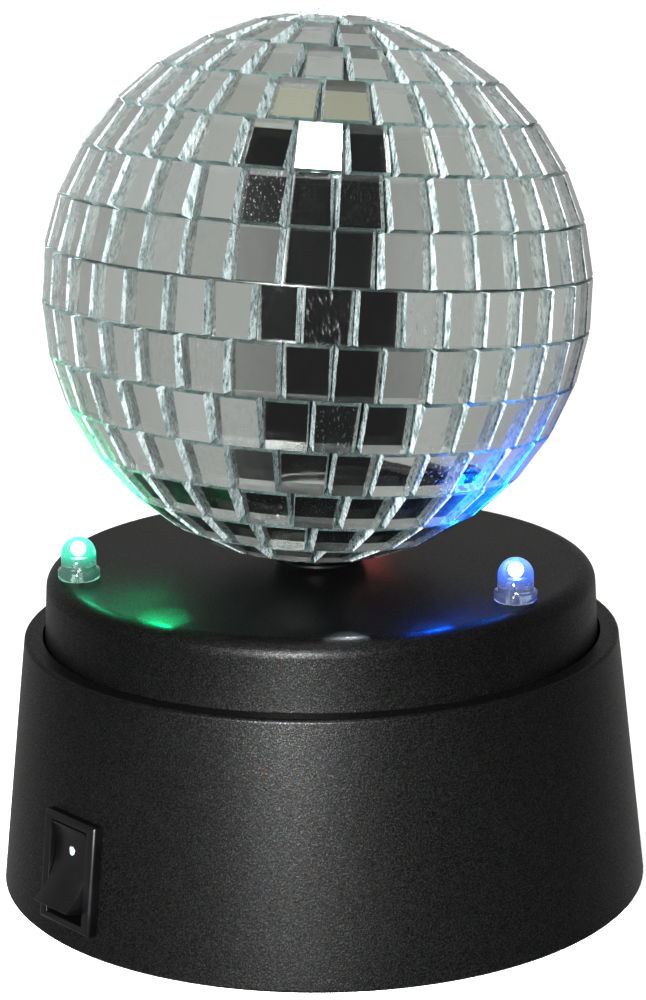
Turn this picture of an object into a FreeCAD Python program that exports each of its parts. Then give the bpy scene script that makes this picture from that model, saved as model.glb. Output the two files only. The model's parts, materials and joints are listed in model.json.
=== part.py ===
import FreeCAD, Part
import math
import os
from FreeCAD import Placement, Rotation, Vector

# Tabletop mirror ball on a battery base. Millimetres, +Z up, origin at the middle of the
# base's underside. The front of the base faces -Y.

# Base body: a tapered skirt with a flat shoulder ring and a ledge for the cover
SHOULDER_WIDTH = 2.95
BASE_FLARE = 4.1
BASE_HEIGHT = 36.1
BASE_WALL = 2.0
LEDGE_DROP = 3.1
LEDGE_WIDTH = 2.6
LEDGE_THICKNESS = 1.6
SHOULDER_ROUND = 0.6
FOOT_ROUND = 0.4

# Top cover
COVER_RADIUS = 39.25
COVER_RISE = 9.4
COVER_DRAFT = 0.5
COVER_WALL = 2.0
COVER_ROUND = 2.4
COVER_GROOVE = 0.4

# Ball
BALL_RADIUS = 38.1
BALL_FLOAT = 0.9
TILE_THICKNESS = 1.9
TILE_HEIGHT = 7.0
TILE_WIDTH = 6.2
TILE_GAP = 0.12
GLUE_LINE = 0.1
CORE_WALL = 1.6
CORE_LIP = 2.0
ROW_COUNT = 15
ROW_PITCH_DEG = 11.25
FIRST_ROW_TOP_DEG = 85.6
END_ROW_HEIGHT = 5.3
LATTICE_TILT_DEG = 5.48
LATTICE_TILT_TOWARDS_DEG = 40.9
TOP_TILE_SIDE = 6.2
TOP_TILE_LIFT = 0.95
TOP_TILE_CLEARANCE = 0.1
TRIM_STEP = 0.25
TOP_TILE_SHIFT = -1.6
# Where each row's first joint between two tiles falls, in degrees round from the front
ROW_STARTS_DEG = [8.0, 2.0, 5.5, -3.0, 4.0, 2.2, 1.9, -3.3, 3.6, -0.4, 5.0, -4.0, 2.0, 7.0, 0.0]

# Hub, drive shaft and bush
HUB_RADIUS = 6.5
HUB_THICKNESS = 0.5
HUB_NECK_RADIUS = 4.0
HUB_NECK_TOP = 9.5
HUB_LIFT = 0.5
SHAFT_RADIUS = 1.5
BUSH_RADIUS = 3.0
BUSH_PROUD = 0.2
RUNNING_CLEARANCE = 0.05

# LEDs
LED_BODY_RADIUS = 2.45
LED_FLANGE_RADIUS = 2.95
LED_FLANGE_HEIGHT = 1.4
LED_BODY_HEIGHT = 3.8
LED_DOME_HEIGHT = 2.1
LEAD_SIDE = 0.5
LEAD_SPACING = 2.54
LEAD_TAIL = 0.9
# How far each LED stands in from the cover's side, and where round the cover
LED_INSETS = {"green": (4.85, -168.2), "blue": (5.85, -38.3), "red": (5.45, 77.0)}

# Circuit board ring
BOARD_GEARBOX_CLEARANCE = 0.4
BOARD_EDGE_CLEARANCE = 0.6
BOARD_THICKNESS = 1.2
BOARD_DROP = 4.7

# Rocker switch
SWITCH_AZIMUTH_DEG = -138.7
SWITCH_HEIGHT = 10.85
BEZEL_LENGTH = 15.2
BEZEL_WIDTH = 11.0
BEZEL_PROUD = 1.6
BEZEL_ROUND = 0.5
SWITCH_LENGTH = 14.0
SWITCH_WIDTH = 9.2
SWITCH_DEPTH = 12.5
SWITCH_FIT = 0.1
SWITCH_RELIEF = 0.2
ROCKER_WIDTH = 7.2
ROCKER_SIDE_GAP = 0.3
ROCKER_HALF_LENGTH = 5.5
ROCKER_LIP = 3.0
ROCKER_DISH = 1.0
ROCKER_PIVOT_DEPTH = 1.5
ROCKER_PIN_RADIUS = 0.8
ROCKER_THROW_DEG = 26.0
OPENING_LENGTH = 13.0

# Cells and battery bay
CELL_COUNT = 3
CELL_RADIUS = 7.25
CELL_LENGTH = 50.5
CELL_NUB_RADIUS = 2.75
CELL_NUB_LENGTH = 1.2
CELL_PITCH = 14.7
BAY_WALL = 1.2
BAY_END_ROOM = 7.3
BAY_SIDE_ROOM = 0.85
PLATE_THICKNESS = 1.8
PLATE_LIFT = 1.2
PLATE_EDGE_CLEARANCE = 0.3
DOOR_CLEARANCE = 0.25
DOOR_THICKNESS = 1.7
TONGUE_LENGTH = 2.0
TONGUE_WIDTH = 6.0
TONGUE_THICKNESS = 0.8
CONTACT_THICKNESS = 0.3
CONTACT_WIDTH = 9.0
SPRING_WIRE_RADIUS = 0.35
SPRING_RADIUS = 4.0
SPRING_TURNS = 4

# Gears
MODULE = 0.5
PINION_TEETH = 10
WHEEL_TEETH = 40
OUTPUT_TEETH = 48
PINION_ADDENDUM = 0.5
PINION_DEDENDUM = 0.42
WHEEL_ADDENDUM = 0.3
WHEEL_DEDENDUM = 0.6
BACKLASH = 0.12
GEAR_THICKNESS = 1.6
GEAR_LAYER = 2.0
GEAR_PIN_RADIUS = 0.9
SECOND_GEAR_AZIMUTH_DEG = -114.5
FIRST_GEAR_DISTANCE = 14.5
MOTOR_DISTANCE = 13.0

# Gearbox and motor
GEARBOX_RADIUS = 26.8
GEARBOX_WALL = 1.2
GEARBOX_LID_GAP = 1.3
LUG_WIDTH = 6.5
LUG_THICKNESS = 1.6
MOTOR_RADIUS = 12.2
MOTOR_HEIGHT = 12.3
MOTOR_WALL = 0.8
MOTOR_GAP = 0.2
MOTOR_SHAFT_RADIUS = 0.75
MOTOR_BOSS_RADIUS = 3.0

# Screws: one self-tapping size throughout the case, a smaller one for the motor
SCREW_RADIUS = 1.1
SCREW_HEAD_RADIUS = 2.1
SCREW_HEAD_HEIGHT = 1.0
SCREW_LENGTH = 6.0
SCREW_CLEARANCE = 0.2
BOSS_RADIUS = 2.4
PLATE_BOSS_RADIUS = 3.3
PLATE_BOSS_HEIGHT = 12.0
GEARBOX_BOSS_STANDOFF = 4.7
COVER_BOSS_BITE = 0.05
BOARD_POST_INSET = 6.45
PLATE_BOSS_BITE = 0.06
GEARBOX_BOSS_ANGLES = [-102.0, 18.0, 138.0]
COVER_BOSS_ANGLES = [-72.0, 48.0, 168.0]
BOARD_POST_ANGLES = [-20.3, 97.0, -148.0]
PLATE_BOSS_ANGLES = [90.0, -25.0, -155.0]
MOTOR_SCREW_RADIUS = 1.0
MOTOR_SCREW_HEAD_RADIUS = 1.8
MOTOR_SCREW_HEAD_HEIGHT = 0.7
MOTOR_SCREW_SPREAD = 8.0

# Wires
WIRE_RADIUS = 0.6
SOLDER_GAP = 0.15

# Levels and radii worked out from the sizes above
BASE_SHOULDER_RADIUS = COVER_RADIUS + SHOULDER_WIDTH
BASE_FOOT_RADIUS = BASE_SHOULDER_RADIUS + BASE_FLARE
LED_PLACES = {colour: (COVER_RADIUS - inset, angle) for colour, (inset, angle) in LED_INSETS.items()}
BOARD_INNER_RADIUS = GEARBOX_RADIUS + BOARD_GEARBOX_CLEARANCE
GEARBOX_BOSS_CIRCLE = GEARBOX_RADIUS + GEARBOX_BOSS_STANDOFF
COVER_BOSS_CIRCLE = COVER_RADIUS - COVER_WALL - BOSS_RADIUS - COVER_BOSS_BITE
BOARD_POST_CIRCLE = COVER_RADIUS - BOARD_POST_INSET
LEDGE_TOP = BASE_HEIGHT - LEDGE_DROP
LEDGE_BOTTOM = LEDGE_TOP - LEDGE_THICKNESS
COVER_TOP = BASE_HEIGHT + COVER_RISE
COVER_UNDERSIDE = COVER_TOP - COVER_WALL
SHOULDER_HOLE_RADIUS = COVER_RADIUS + COVER_GROOVE
LEDGE_INNER_RADIUS = SHOULDER_HOLE_RADIUS - LEDGE_WIDTH
CORE_RADIUS = BALL_RADIUS - 0.3 - TILE_THICKNESS - GLUE_LINE
TILE_BACK = CORE_RADIUS + GLUE_LINE
TILE_FACE = TILE_BACK + TILE_THICKNESS
BALL_CENTRE = COVER_TOP + BALL_FLOAT + BALL_RADIUS
HUB_BOTTOM = COVER_TOP + HUB_LIFT
HUB_DISC_TOP = HUB_BOTTOM + HUB_THICKNESS
BOARD_BOTTOM = COVER_UNDERSIDE - BOARD_DROP - BOARD_THICKNESS
BOARD_TOP = BOARD_BOTTOM + BOARD_THICKNESS
BOARD_OUTER_RADIUS = COVER_RADIUS - COVER_WALL - BOARD_EDGE_CLEARANCE
PLATE_TOP = PLATE_LIFT + PLATE_THICKNESS
PLATE_TOP_RADIUS = BASE_FOOT_RADIUS - BASE_FLARE * PLATE_TOP / BASE_HEIGHT - BASE_WALL
PLATE_BOSS_CIRCLE = PLATE_TOP_RADIUS - PLATE_BOSS_RADIUS - PLATE_BOSS_BITE
BAY_HALF_LENGTH = (CELL_LENGTH + BAY_END_ROOM) / 2 + CONTACT_THICKNESS
BAY_HALF_WIDTH = CELL_PITCH + CELL_RADIUS + BAY_SIDE_ROOM
CELL_HEIGHT = PLATE_TOP + 0.3 + CELL_RADIUS
BAY_CEILING = CELL_HEIGHT + CELL_RADIUS + 0.3
BAY_TOP = BAY_CEILING + BAY_WALL
BAY_TURN_DEG = SWITCH_AZIMUTH_DEG + 90.0
MOTOR_BOTTOM = BAY_TOP + 0.6
GEARBOX_BOTTOM = MOTOR_BOTTOM + MOTOR_HEIGHT + MOTOR_GAP
GEARBOX_FLOOR = GEARBOX_BOTTOM + GEARBOX_WALL
LID_BOTTOM = COVER_UNDERSIDE - GEARBOX_LID_GAP - GEARBOX_WALL
LID_TOP = LID_BOTTOM + GEARBOX_WALL
LAYER_A = GEARBOX_FLOOR + 1.0
LAYER_B = LAYER_A + GEAR_LAYER
LAYER_C = LAYER_B + GEAR_LAYER
PINION_PITCH_RADIUS = MODULE * PINION_TEETH / 2
WHEEL_PITCH_RADIUS = MODULE * WHEEL_TEETH / 2
OUTPUT_PITCH_RADIUS = MODULE * OUTPUT_TEETH / 2
SECOND_GEAR_DISTANCE = OUTPUT_PITCH_RADIUS + PINION_PITCH_RADIUS
WHEEL_PINION_DISTANCE = WHEEL_PITCH_RADIUS + PINION_PITCH_RADIUS
UP = Vector(0, 0, 1)


def polar(radius, angle_deg, height=0.0):
    """A point at a radius and an angle round Z."""
    angle = math.radians(angle_deg)
    return Vector(radius * math.cos(angle), radius * math.sin(angle), height)


def triangle_turn_deg(side_a, side_b, opposite):
    """The angle between two sides of a triangle, from its three lengths."""
    cosine = (side_a ** 2 + side_b ** 2 - opposite ** 2) / (2 * side_a * side_b)
    return math.degrees(math.acos(cosine))


SECOND_GEAR = polar(SECOND_GEAR_DISTANCE, SECOND_GEAR_AZIMUTH_DEG)
FIRST_GEAR_AZIMUTH_DEG = SECOND_GEAR_AZIMUTH_DEG + triangle_turn_deg(
    SECOND_GEAR_DISTANCE, FIRST_GEAR_DISTANCE, WHEEL_PINION_DISTANCE)
FIRST_GEAR = polar(FIRST_GEAR_DISTANCE, FIRST_GEAR_AZIMUTH_DEG)
MOTOR_AZIMUTH_DEG = FIRST_GEAR_AZIMUTH_DEG + triangle_turn_deg(
    FIRST_GEAR_DISTANCE, MOTOR_DISTANCE, WHEEL_PINION_DISTANCE)
MOTOR = polar(MOTOR_DISTANCE, MOTOR_AZIMUTH_DEG)


def cylinder(radius, bottom, top, centre=Vector(0, 0, 0)):
    """An upright cylinder between two heights."""
    return Part.makeCylinder(radius, top - bottom, Vector(centre.x, centre.y, bottom))


def ring(outer, inner, bottom, top, centre=Vector(0, 0, 0)):
    """An upright tube between two heights."""
    hole = cylinder(inner, bottom - 1, top + 1, centre)
    return cylinder(outer, bottom, top, centre).cut(hole)


def block(x_low, x_high, y_low, y_high, z_low, z_high):
    """A box between its low and high corners."""
    corner = Vector(x_low, y_low, z_low)
    return Part.makeBox(x_high - x_low, y_high - y_low, z_high - z_low, corner)


def turned(shape, angle_deg):
    """A copy turned round Z."""
    copy = shape.copy()
    copy.Placement = Placement(Vector(0, 0, 0), Rotation(UP, angle_deg)).multiply(copy.Placement)
    return copy


def placed(shape, placement):
    """A copy moved by a placement."""
    copy = shape.copy()
    copy.Placement = placement.multiply(copy.Placement)
    return copy


def lathe(points):
    """A solid turned round Z from (radius, height) points."""
    corners = [Vector(radius, 0, height) for radius, height in points]
    face = Part.Face(Part.makePolygon(corners + corners[:1]))
    return face.revolve(Vector(0, 0, 0), UP, 360)


def fuse(shapes):
    """One solid from touching or overlapping ones."""
    return shapes[0].fuse(shapes[1:]).removeSplitter()


def edges_at(shape, height, radius):
    """The round edges of a shape at one height and about one radius."""
    found = []
    for edge in shape.Edges:
        box = edge.BoundBox
        flat = abs(box.ZMin - height) < 1e-4 and abs(box.ZMax - height) < 1e-4
        if flat and abs(box.XMax - radius) < 0.02 and abs(box.XMin + radius) < 0.02:
            found.append(edge)
    return found


def save(node, shapes):
    """Write one node; a list of solids stays a group of separate solids."""
    shape = shapes
    if isinstance(shapes, list):
        shape = Part.makeCompound(shapes)
    shape.exportStep("parts/" + node + ".step")
    solids = shape.Solids
    volume = sum(solid.Volume for solid in solids)
    print(node, len(solids), round(volume, 1), shape.isValid())


def screw(top_of_head, length=SCREW_LENGTH, radius=SCREW_RADIUS, head=SCREW_HEAD_RADIUS,
          head_height=SCREW_HEAD_HEIGHT):
    """A cross-head screw driven upwards: its head hangs below the seat at top_of_head."""
    body = cylinder(radius, top_of_head, top_of_head + length)
    cap = cylinder(head, top_of_head - head_height, top_of_head)
    blade = head * 0.55
    slot = head * 0.14
    deep = top_of_head - head_height * 0.5
    low = top_of_head - head_height - 1
    recess = block(-blade, blade, -slot, slot, low, deep).fuse(
        block(-slot, slot, -blade, blade, low, deep))
    return body.fuse(cap).removeSplitter().cut(recess)


# ---------------------------------------------------------------- switch frame

def base_radius(height):
    """The skirt's outer radius at a height."""
    return BASE_FOOT_RADIUS - (BASE_FOOT_RADIUS - BASE_SHOULDER_RADIUS) * height / BASE_HEIGHT


def switch_placement():
    """The seat of the switch: X outwards, Z up the slope of the skirt."""
    slope = math.degrees(math.atan((BASE_FOOT_RADIUS - BASE_SHOULDER_RADIUS) / BASE_HEIGHT))
    half = BEZEL_WIDTH / 2 + 0.2
    outer = base_radius(SWITCH_HEIGHT)
    seat = math.sqrt(outer ** 2 - half ** 2)
    turn = Rotation(UP, SWITCH_AZIMUTH_DEG).multiply(Rotation(Vector(0, 1, 0), -slope))
    return Placement(polar(seat, SWITCH_AZIMUTH_DEG, SWITCH_HEIGHT), turn)


SWITCH_SEAT = switch_placement()


# ---------------------------------------------------------------- base and cover

def base_body():
    """The skirt, its shoulder, the cover's ledge, screw tabs and plate bosses."""
    def inner(height):
        return base_radius(height) - BASE_WALL
    ledge_under = LEDGE_BOTTOM - (inner(LEDGE_BOTTOM) - LEDGE_INNER_RADIUS) * 0.6
    shell = lathe([
        (BASE_FOOT_RADIUS, 0), (BASE_SHOULDER_RADIUS, BASE_HEIGHT),
        (SHOULDER_HOLE_RADIUS, BASE_HEIGHT), (SHOULDER_HOLE_RADIUS, LEDGE_TOP),
        (LEDGE_INNER_RADIUS, LEDGE_TOP), (LEDGE_INNER_RADIUS, LEDGE_BOTTOM),
        (inner(ledge_under), ledge_under), (inner(0), 0)])
    shell = shell.makeFillet(SHOULDER_ROUND, edges_at(shell, BASE_HEIGHT, BASE_SHOULDER_RADIUS))
    shell = shell.makeFillet(FOOT_ROUND, edges_at(shell, 0, BASE_FOOT_RADIUS))
    tab_tip = COVER_BOSS_CIRCLE - BOSS_RADIUS - 0.6
    parts = [shell]
    for angle in COVER_BOSS_ANGLES:
        tab = block(tab_tip, LEDGE_INNER_RADIUS + 1, -2.8, 2.8, LEDGE_BOTTOM, LEDGE_TOP)
        parts.append(turned(tab, angle))
    for angle in PLATE_BOSS_ANGLES:
        centre = polar(PLATE_BOSS_CIRCLE, angle + BAY_TURN_DEG)
        boss = cylinder(PLATE_BOSS_RADIUS, PLATE_TOP, PLATE_TOP + PLATE_BOSS_HEIGHT, centre)
        rib = block(PLATE_BOSS_CIRCLE, inner(PLATE_TOP) + 0.6, -0.8, 0.8,
                    PLATE_TOP, PLATE_TOP + PLATE_BOSS_HEIGHT)
        parts += [boss, turned(rib, angle + BAY_TURN_DEG)]
    body = parts[0].fuse(parts[1:])
    outside = lathe([(0, 0), (BASE_FOOT_RADIUS - FOOT_ROUND, 0), (BASE_FOOT_RADIUS, FOOT_ROUND),
                     (BASE_SHOULDER_RADIUS, BASE_HEIGHT), (0, BASE_HEIGHT)])
    body = body.common(outside).removeSplitter()
    cuts = []
    for angle in COVER_BOSS_ANGLES:
        cuts.append(cylinder(SCREW_RADIUS + SCREW_CLEARANCE, LEDGE_BOTTOM - 1, LEDGE_TOP + 1,
                             polar(COVER_BOSS_CIRCLE, angle)))
    for angle in PLATE_BOSS_ANGLES:
        cuts.append(cylinder(SCREW_RADIUS, PLATE_TOP - 1, PLATE_TOP + SCREW_LENGTH,
                             polar(PLATE_BOSS_CIRCLE, angle + BAY_TURN_DEG)))
    seat_half = BEZEL_WIDTH / 2 + 0.2
    seat_reach = BEZEL_LENGTH / 2 + 0.2
    seat = block(0, 6, -seat_half, seat_half, -seat_reach, seat_reach)
    hole_half = SWITCH_WIDTH / 2 + SWITCH_FIT
    hole_reach = SWITCH_LENGTH / 2 + SWITCH_FIT
    hole = block(-8, 6, -hole_half, hole_half, -hole_reach, hole_reach)
    cuts += [placed(seat, SWITCH_SEAT), placed(hole, SWITCH_SEAT)]
    return body.cut(cuts)


def cover_bosses():
    """The cover's screw bosses as (angle, circle, bottom height)."""
    places = []
    for angle in GEARBOX_BOSS_ANGLES:
        places.append((angle, GEARBOX_BOSS_CIRCLE, LID_TOP))
    for angle in COVER_BOSS_ANGLES:
        places.append((angle, COVER_BOSS_CIRCLE, LEDGE_TOP))
    for angle in BOARD_POST_ANGLES:
        places.append((angle, BOARD_POST_CIRCLE, BOARD_TOP))
    return places


def top_cover():
    """The raised cover: a cap with bosses, the shaft's hole and holes for the LED leads."""
    top_radius = COVER_RADIUS - COVER_DRAFT
    cap = lathe([
        (0, COVER_TOP), (0, COVER_UNDERSIDE), (top_radius - COVER_WALL, COVER_UNDERSIDE),
        (COVER_RADIUS - COVER_WALL, LEDGE_TOP), (COVER_RADIUS, LEDGE_TOP),
        (COVER_RADIUS, BASE_HEIGHT), (top_radius, COVER_TOP)])
    cap = cap.makeFillet(COVER_ROUND, edges_at(cap, COVER_TOP, top_radius))
    parts = [cap]
    for angle, circle, bottom in cover_bosses():
        parts.append(cylinder(BOSS_RADIUS, bottom, COVER_UNDERSIDE + 0.5, polar(circle, angle)))
    skirt = lathe([(0, 0), (COVER_RADIUS - 0.2, 0), (COVER_RADIUS - 0.2, BASE_HEIGHT),
                   (top_radius - 0.2, COVER_TOP), (0, COVER_TOP)])
    bosses = parts[1].fuse(parts[2:]).common(skirt)
    cover = cap.fuse(bosses).removeSplitter()
    cuts = [cylinder(BUSH_RADIUS, COVER_UNDERSIDE - 1, COVER_TOP + 1)]
    for angle, circle, bottom in cover_bosses():
        depth = min(SCREW_LENGTH, COVER_TOP - 0.8 - bottom)
        cuts.append(cylinder(SCREW_RADIUS, bottom - 1, bottom + depth, polar(circle, angle)))
    for circle, angle in LED_PLACES.values():
        for side in (-1, 1):
            hole = cylinder(LEAD_SIDE, COVER_UNDERSIDE - 3, COVER_TOP + 1,
                            Vector(circle, side * LEAD_SPACING / 2, 0))
            cuts.append(turned(hole, angle))
    return cover.cut(cuts)


def shaft_bush():
    """The flanged bush in the cover that the drive shaft turns in."""
    barrel = cylinder(BUSH_RADIUS, COVER_UNDERSIDE - 0.8, COVER_TOP + BUSH_PROUD)
    flange = cylinder(BUSH_RADIUS + 1, COVER_UNDERSIDE - 0.8, COVER_UNDERSIDE)
    bore = cylinder(SHAFT_RADIUS + RUNNING_CLEARANCE, COVER_UNDERSIDE - 2, COVER_TOP + 2)
    return barrel.fuse(flange).removeSplitter().cut(bore)


# ---------------------------------------------------------------- battery bay

def bay_turned(shape):
    """A piece drawn along X turned to the bay's own direction."""
    return turned(shape, BAY_TURN_DEG)


def bottom_plate():
    """The round plate with the battery bay moulded on it."""
    radius = base_radius(PLATE_LIFT) - BASE_WALL - PLATE_EDGE_CLEARANCE
    plate = cylinder(radius, PLATE_LIFT, PLATE_TOP)
    outer_x = BAY_HALF_LENGTH + BAY_WALL
    outer_y = BAY_HALF_WIDTH + BAY_WALL
    box = block(-outer_x, outer_x, -outer_y, outer_y, PLATE_TOP - 0.5, BAY_TOP)
    body = plate.fuse(box).removeSplitter()
    cuts = [block(-BAY_HALF_LENGTH, BAY_HALF_LENGTH, -BAY_HALF_WIDTH, BAY_HALF_WIDTH,
                  PLATE_LIFT - 1, BAY_CEILING)]
    notch_top = PLATE_TOP + TONGUE_LENGTH + TONGUE_THICKNESS
    for side in (-1, 1):
        middle = side * CELL_PITCH / 2
        half = TONGUE_WIDTH / 2 + DOOR_CLEARANCE
        cuts.append(block(-outer_x - 1, -BAY_HALF_LENGTH + 1, middle - half, middle + half,
                          PLATE_TOP, notch_top))
        slot_half = CONTACT_WIDTH / 6 + 0.1
        tab_x = side * (BAY_HALF_LENGTH - CONTACT_THICKNESS / 2)
        tab_y = -side * CELL_PITCH
        cuts.append(block(tab_x - 0.25, tab_x + 0.25, tab_y - slot_half, tab_y + slot_half,
                          BAY_CEILING - 1, BAY_TOP + 1))
    for angle in PLATE_BOSS_ANGLES:
        cuts.append(cylinder(SCREW_RADIUS + SCREW_CLEARANCE, 0, PLATE_TOP + 1,
                             polar(PLATE_BOSS_CIRCLE, angle)))
    half_width = SWITCH_WIDTH / 2 + SWITCH_RELIEF
    reach = SWITCH_LENGTH / 2 + SWITCH_RELIEF
    relief = block(-SWITCH_DEPTH - SWITCH_RELIEF, 6, -half_width, half_width, -reach, reach)
    return bay_turned(body.cut(cuts)).cut(placed(relief, SWITCH_SEAT))


def battery_door():
    """The door in the plate: two tongues at one end, a thumb latch at the other."""
    half_x = BAY_HALF_LENGTH - DOOR_CLEARANCE
    half_y = BAY_HALF_WIDTH - DOOR_CLEARANCE
    top = PLATE_LIFT + DOOR_THICKNESS
    door = block(-half_x, half_x, -half_y, half_y, PLATE_LIFT, top)
    tongue_low = PLATE_TOP + 0.1
    parts = [door]
    for side in (-1, 1):
        middle = side * CELL_PITCH / 2
        low = middle - TONGUE_WIDTH / 2
        high = middle + TONGUE_WIDTH / 2
        parts.append(block(-half_x, -half_x + 1.3, low, high, top - 0.5, tongue_low + TONGUE_THICKNESS))
        parts.append(block(-half_x - TONGUE_LENGTH, -half_x + 1.3, low, high,
                           tongue_low, tongue_low + TONGUE_THICKNESS))
    door = fuse(parts)
    latch_half = 6.0
    latch_root = half_x - 9.0
    gap = 0.8
    cuts = [
        block(latch_root, half_x + 1, -latch_half - gap, -latch_half, 0, top + 1),
        block(latch_root, half_x + 1, latch_half, latch_half + gap, 0, top + 1)]
    for step in range(4):
        rib_x = half_x - 2.0 - 1.4 * step
        cuts.append(block(rib_x - 0.3, rib_x + 0.3, -4, 4, 0, PLATE_LIFT + 0.4))
    return bay_turned(door.cut(cuts))


def cell(index):
    """One AA cell; its nub points to +X for the first and third."""
    body_length = CELL_LENGTH - CELL_NUB_LENGTH
    body = Part.makeCylinder(CELL_RADIUS, body_length, Vector(0, 0, 0), Vector(1, 0, 0))
    ends = [edge for edge in body.Edges if edge.Closed and len(edge.Vertexes) == 1]
    body = body.makeFillet(0.5, ends)
    nub = Part.makeCylinder(CELL_NUB_RADIUS, CELL_NUB_LENGTH + 0.5,
                            Vector(body_length - 0.5, 0, 0), Vector(1, 0, 0))
    whole = body.fuse(nub).removeSplitter()
    start = BAY_HALF_LENGTH - CONTACT_THICKNESS - CELL_LENGTH
    whole.translate(Vector(start, 0, 0))
    if index % 2:
        whole.rotate(Vector(0, 0, 0), UP, 180)
    whole.translate(Vector(0, (1 - index) * CELL_PITCH, CELL_HEIGHT))
    return bay_turned(whole)


def contact_sheet(side, y_low, y_high, with_tab):
    """A contact sheet on one end wall of the bay, with a solder tab if it ends the chain."""
    outer = side * BAY_HALF_LENGTH
    inner = side * (BAY_HALF_LENGTH - CONTACT_THICKNESS)
    low, high = min(outer, inner), max(outer, inner)
    half = CONTACT_WIDTH / 2
    sheet = block(low, high, y_low - half, y_high + half, CELL_HEIGHT - 5, CELL_HEIGHT + 5)
    if with_tab:
        tab_half = CONTACT_WIDTH / 6
        tab = block(low, high, y_low - tab_half, y_low + tab_half, CELL_HEIGHT + 4, BAY_TOP + 1.5)
        sheet = fuse([sheet, tab])
    return bay_turned(sheet)


def battery_contacts():
    """Two single contacts at the ends of the chain and two that join cells."""
    pitch = CELL_PITCH
    return [contact_sheet(1, -pitch, -pitch, True), contact_sheet(1, 0, pitch, False),
            contact_sheet(-1, -pitch, 0, False), contact_sheet(-1, pitch, pitch, True)]


def spring_coil(length):
    """A coil of square wire along Z, in half turns that tilt to and fro so that they meet squarely."""
    rise = length / SPRING_TURNS / 2
    half_side = SPRING_WIRE_RADIUS
    halves = []
    for half in range(SPRING_TURNS * 2):
        side = 1 if half % 2 == 0 else -1
        start = Vector(side * SPRING_RADIUS, 0, half * rise)
        middle = Vector(0, 0, (half + 0.5) * rise)
        corners = [start + Vector(x * half_side, 0, z * half_side)
                   for x, z in ((-1, -1), (1, -1), (1, 1), (-1, 1))]
        section = Part.Face(Part.makePolygon(corners + corners[:1]))
        axis = (start - middle).cross(Vector(0, side, 0))
        halves.append(section.revolve(middle, axis, 180))
    return halves[0].fuse(halves[1:])


def battery_springs():
    """One coil spring at the flat end of each cell."""
    length = BAY_END_ROOM - SPRING_WIRE_RADIUS * 2
    springs = []
    for index in range(CELL_COUNT):
        spring = spring_coil(length)
        spring.rotate(Vector(0, 0, 0), Vector(0, 1, 0), 90)
        floor = -BAY_HALF_LENGTH + CONTACT_THICKNESS + SPRING_WIRE_RADIUS
        spring.translate(Vector(floor, 0, 0))
        if index % 2:
            spring.rotate(Vector(0, 0, 0), UP, 180)
        spring.translate(Vector(0, (1 - index) * CELL_PITCH, CELL_HEIGHT))
        springs.append(bay_turned(spring))
    return springs


# ---------------------------------------------------------------- rocker switch

def switch_terminals():
    """The two blades through the back of the switch."""
    blades = []
    for side in (-1, 1):
        middle = side * 3.5
        blade = block(-SWITCH_DEPTH - 5.0, -SWITCH_DEPTH + 3.5, -2.0, 2.0, middle - 0.25, middle + 0.25)
        blades.append(placed(blade, SWITCH_SEAT))
    return blades


def switch_housing():
    """The switch's box and its raised bezel in one moulding."""
    bezel = block(0, BEZEL_PROUD, -BEZEL_WIDTH / 2, BEZEL_WIDTH / 2,
                  -BEZEL_LENGTH / 2, BEZEL_LENGTH / 2)
    rim = [edge for edge in bezel.Edges if edge.BoundBox.XMin > BEZEL_PROUD - 1e-4]
    bezel = bezel.makeFillet(BEZEL_ROUND, rim)
    box = block(-SWITCH_DEPTH, 0.1, -SWITCH_WIDTH / 2, SWITCH_WIDTH / 2,
                -SWITCH_LENGTH / 2, SWITCH_LENGTH / 2)
    half_width = ROCKER_WIDTH / 2 + ROCKER_SIDE_GAP
    well = block(-SWITCH_DEPTH + 1.0, BEZEL_PROUD + 1, -half_width, half_width,
                 -OPENING_LENGTH / 2, OPENING_LENGTH / 2)
    pin_reach = half_width + 0.5
    pivot = Part.makeCylinder(ROCKER_PIN_RADIUS + RUNNING_CLEARANCE, 2 * pin_reach,
                              Vector(-ROCKER_PIVOT_DEPTH, -pin_reach, 0), Vector(0, 1, 0))
    housing = fuse([bezel, box]).cut([well, pivot])
    return placed(housing, SWITCH_SEAT).cut(switch_terminals())


def switch_rocker():
    """The dished rocker on its two pivot pins, tipped so that its top is pressed in."""
    reach = ROCKER_HALF_LENGTH
    lip = ROCKER_LIP
    front = Part.Arc(Vector(lip, 0, reach), Vector(ROCKER_DISH, 0, 0), Vector(lip, 0, -reach))
    outline = [Vector(lip, 0, -reach), Vector(lip - 0.5, 0, -reach - 0.1), Vector(-1.0, 0, -reach),
               Vector(-3.5, 0, -reach * 0.6), Vector(-4.6, 0, 0), Vector(-3.5, 0, reach * 0.6),
               Vector(-1.0, 0, reach), Vector(lip - 0.5, 0, reach + 0.1), Vector(lip, 0, reach)]
    edges = [front.toShape()]
    for start, end in zip(outline, outline[1:]):
        edges.append(Part.makeLine(start, end))
    face = Part.Face(Part.Wire(Part.__sortEdges__(edges)))
    body = face.extrude(Vector(0, ROCKER_WIDTH, 0))
    body.translate(Vector(0, -ROCKER_WIDTH / 2, 0))
    pin_reach = ROCKER_WIDTH / 2 + ROCKER_SIDE_GAP + 0.4
    pins = Part.makeCylinder(ROCKER_PIN_RADIUS, 2 * pin_reach,
                             Vector(-ROCKER_PIVOT_DEPTH, -pin_reach, 0), Vector(0, 1, 0))
    rocker = body.fuse(pins).removeSplitter()
    rocker.rotate(Vector(-ROCKER_PIVOT_DEPTH, 0, 0), Vector(0, 1, 0), -ROCKER_THROW_DEG / 2)
    return placed(rocker, SWITCH_SEAT)


# ---------------------------------------------------------------- board and LEDs

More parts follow.
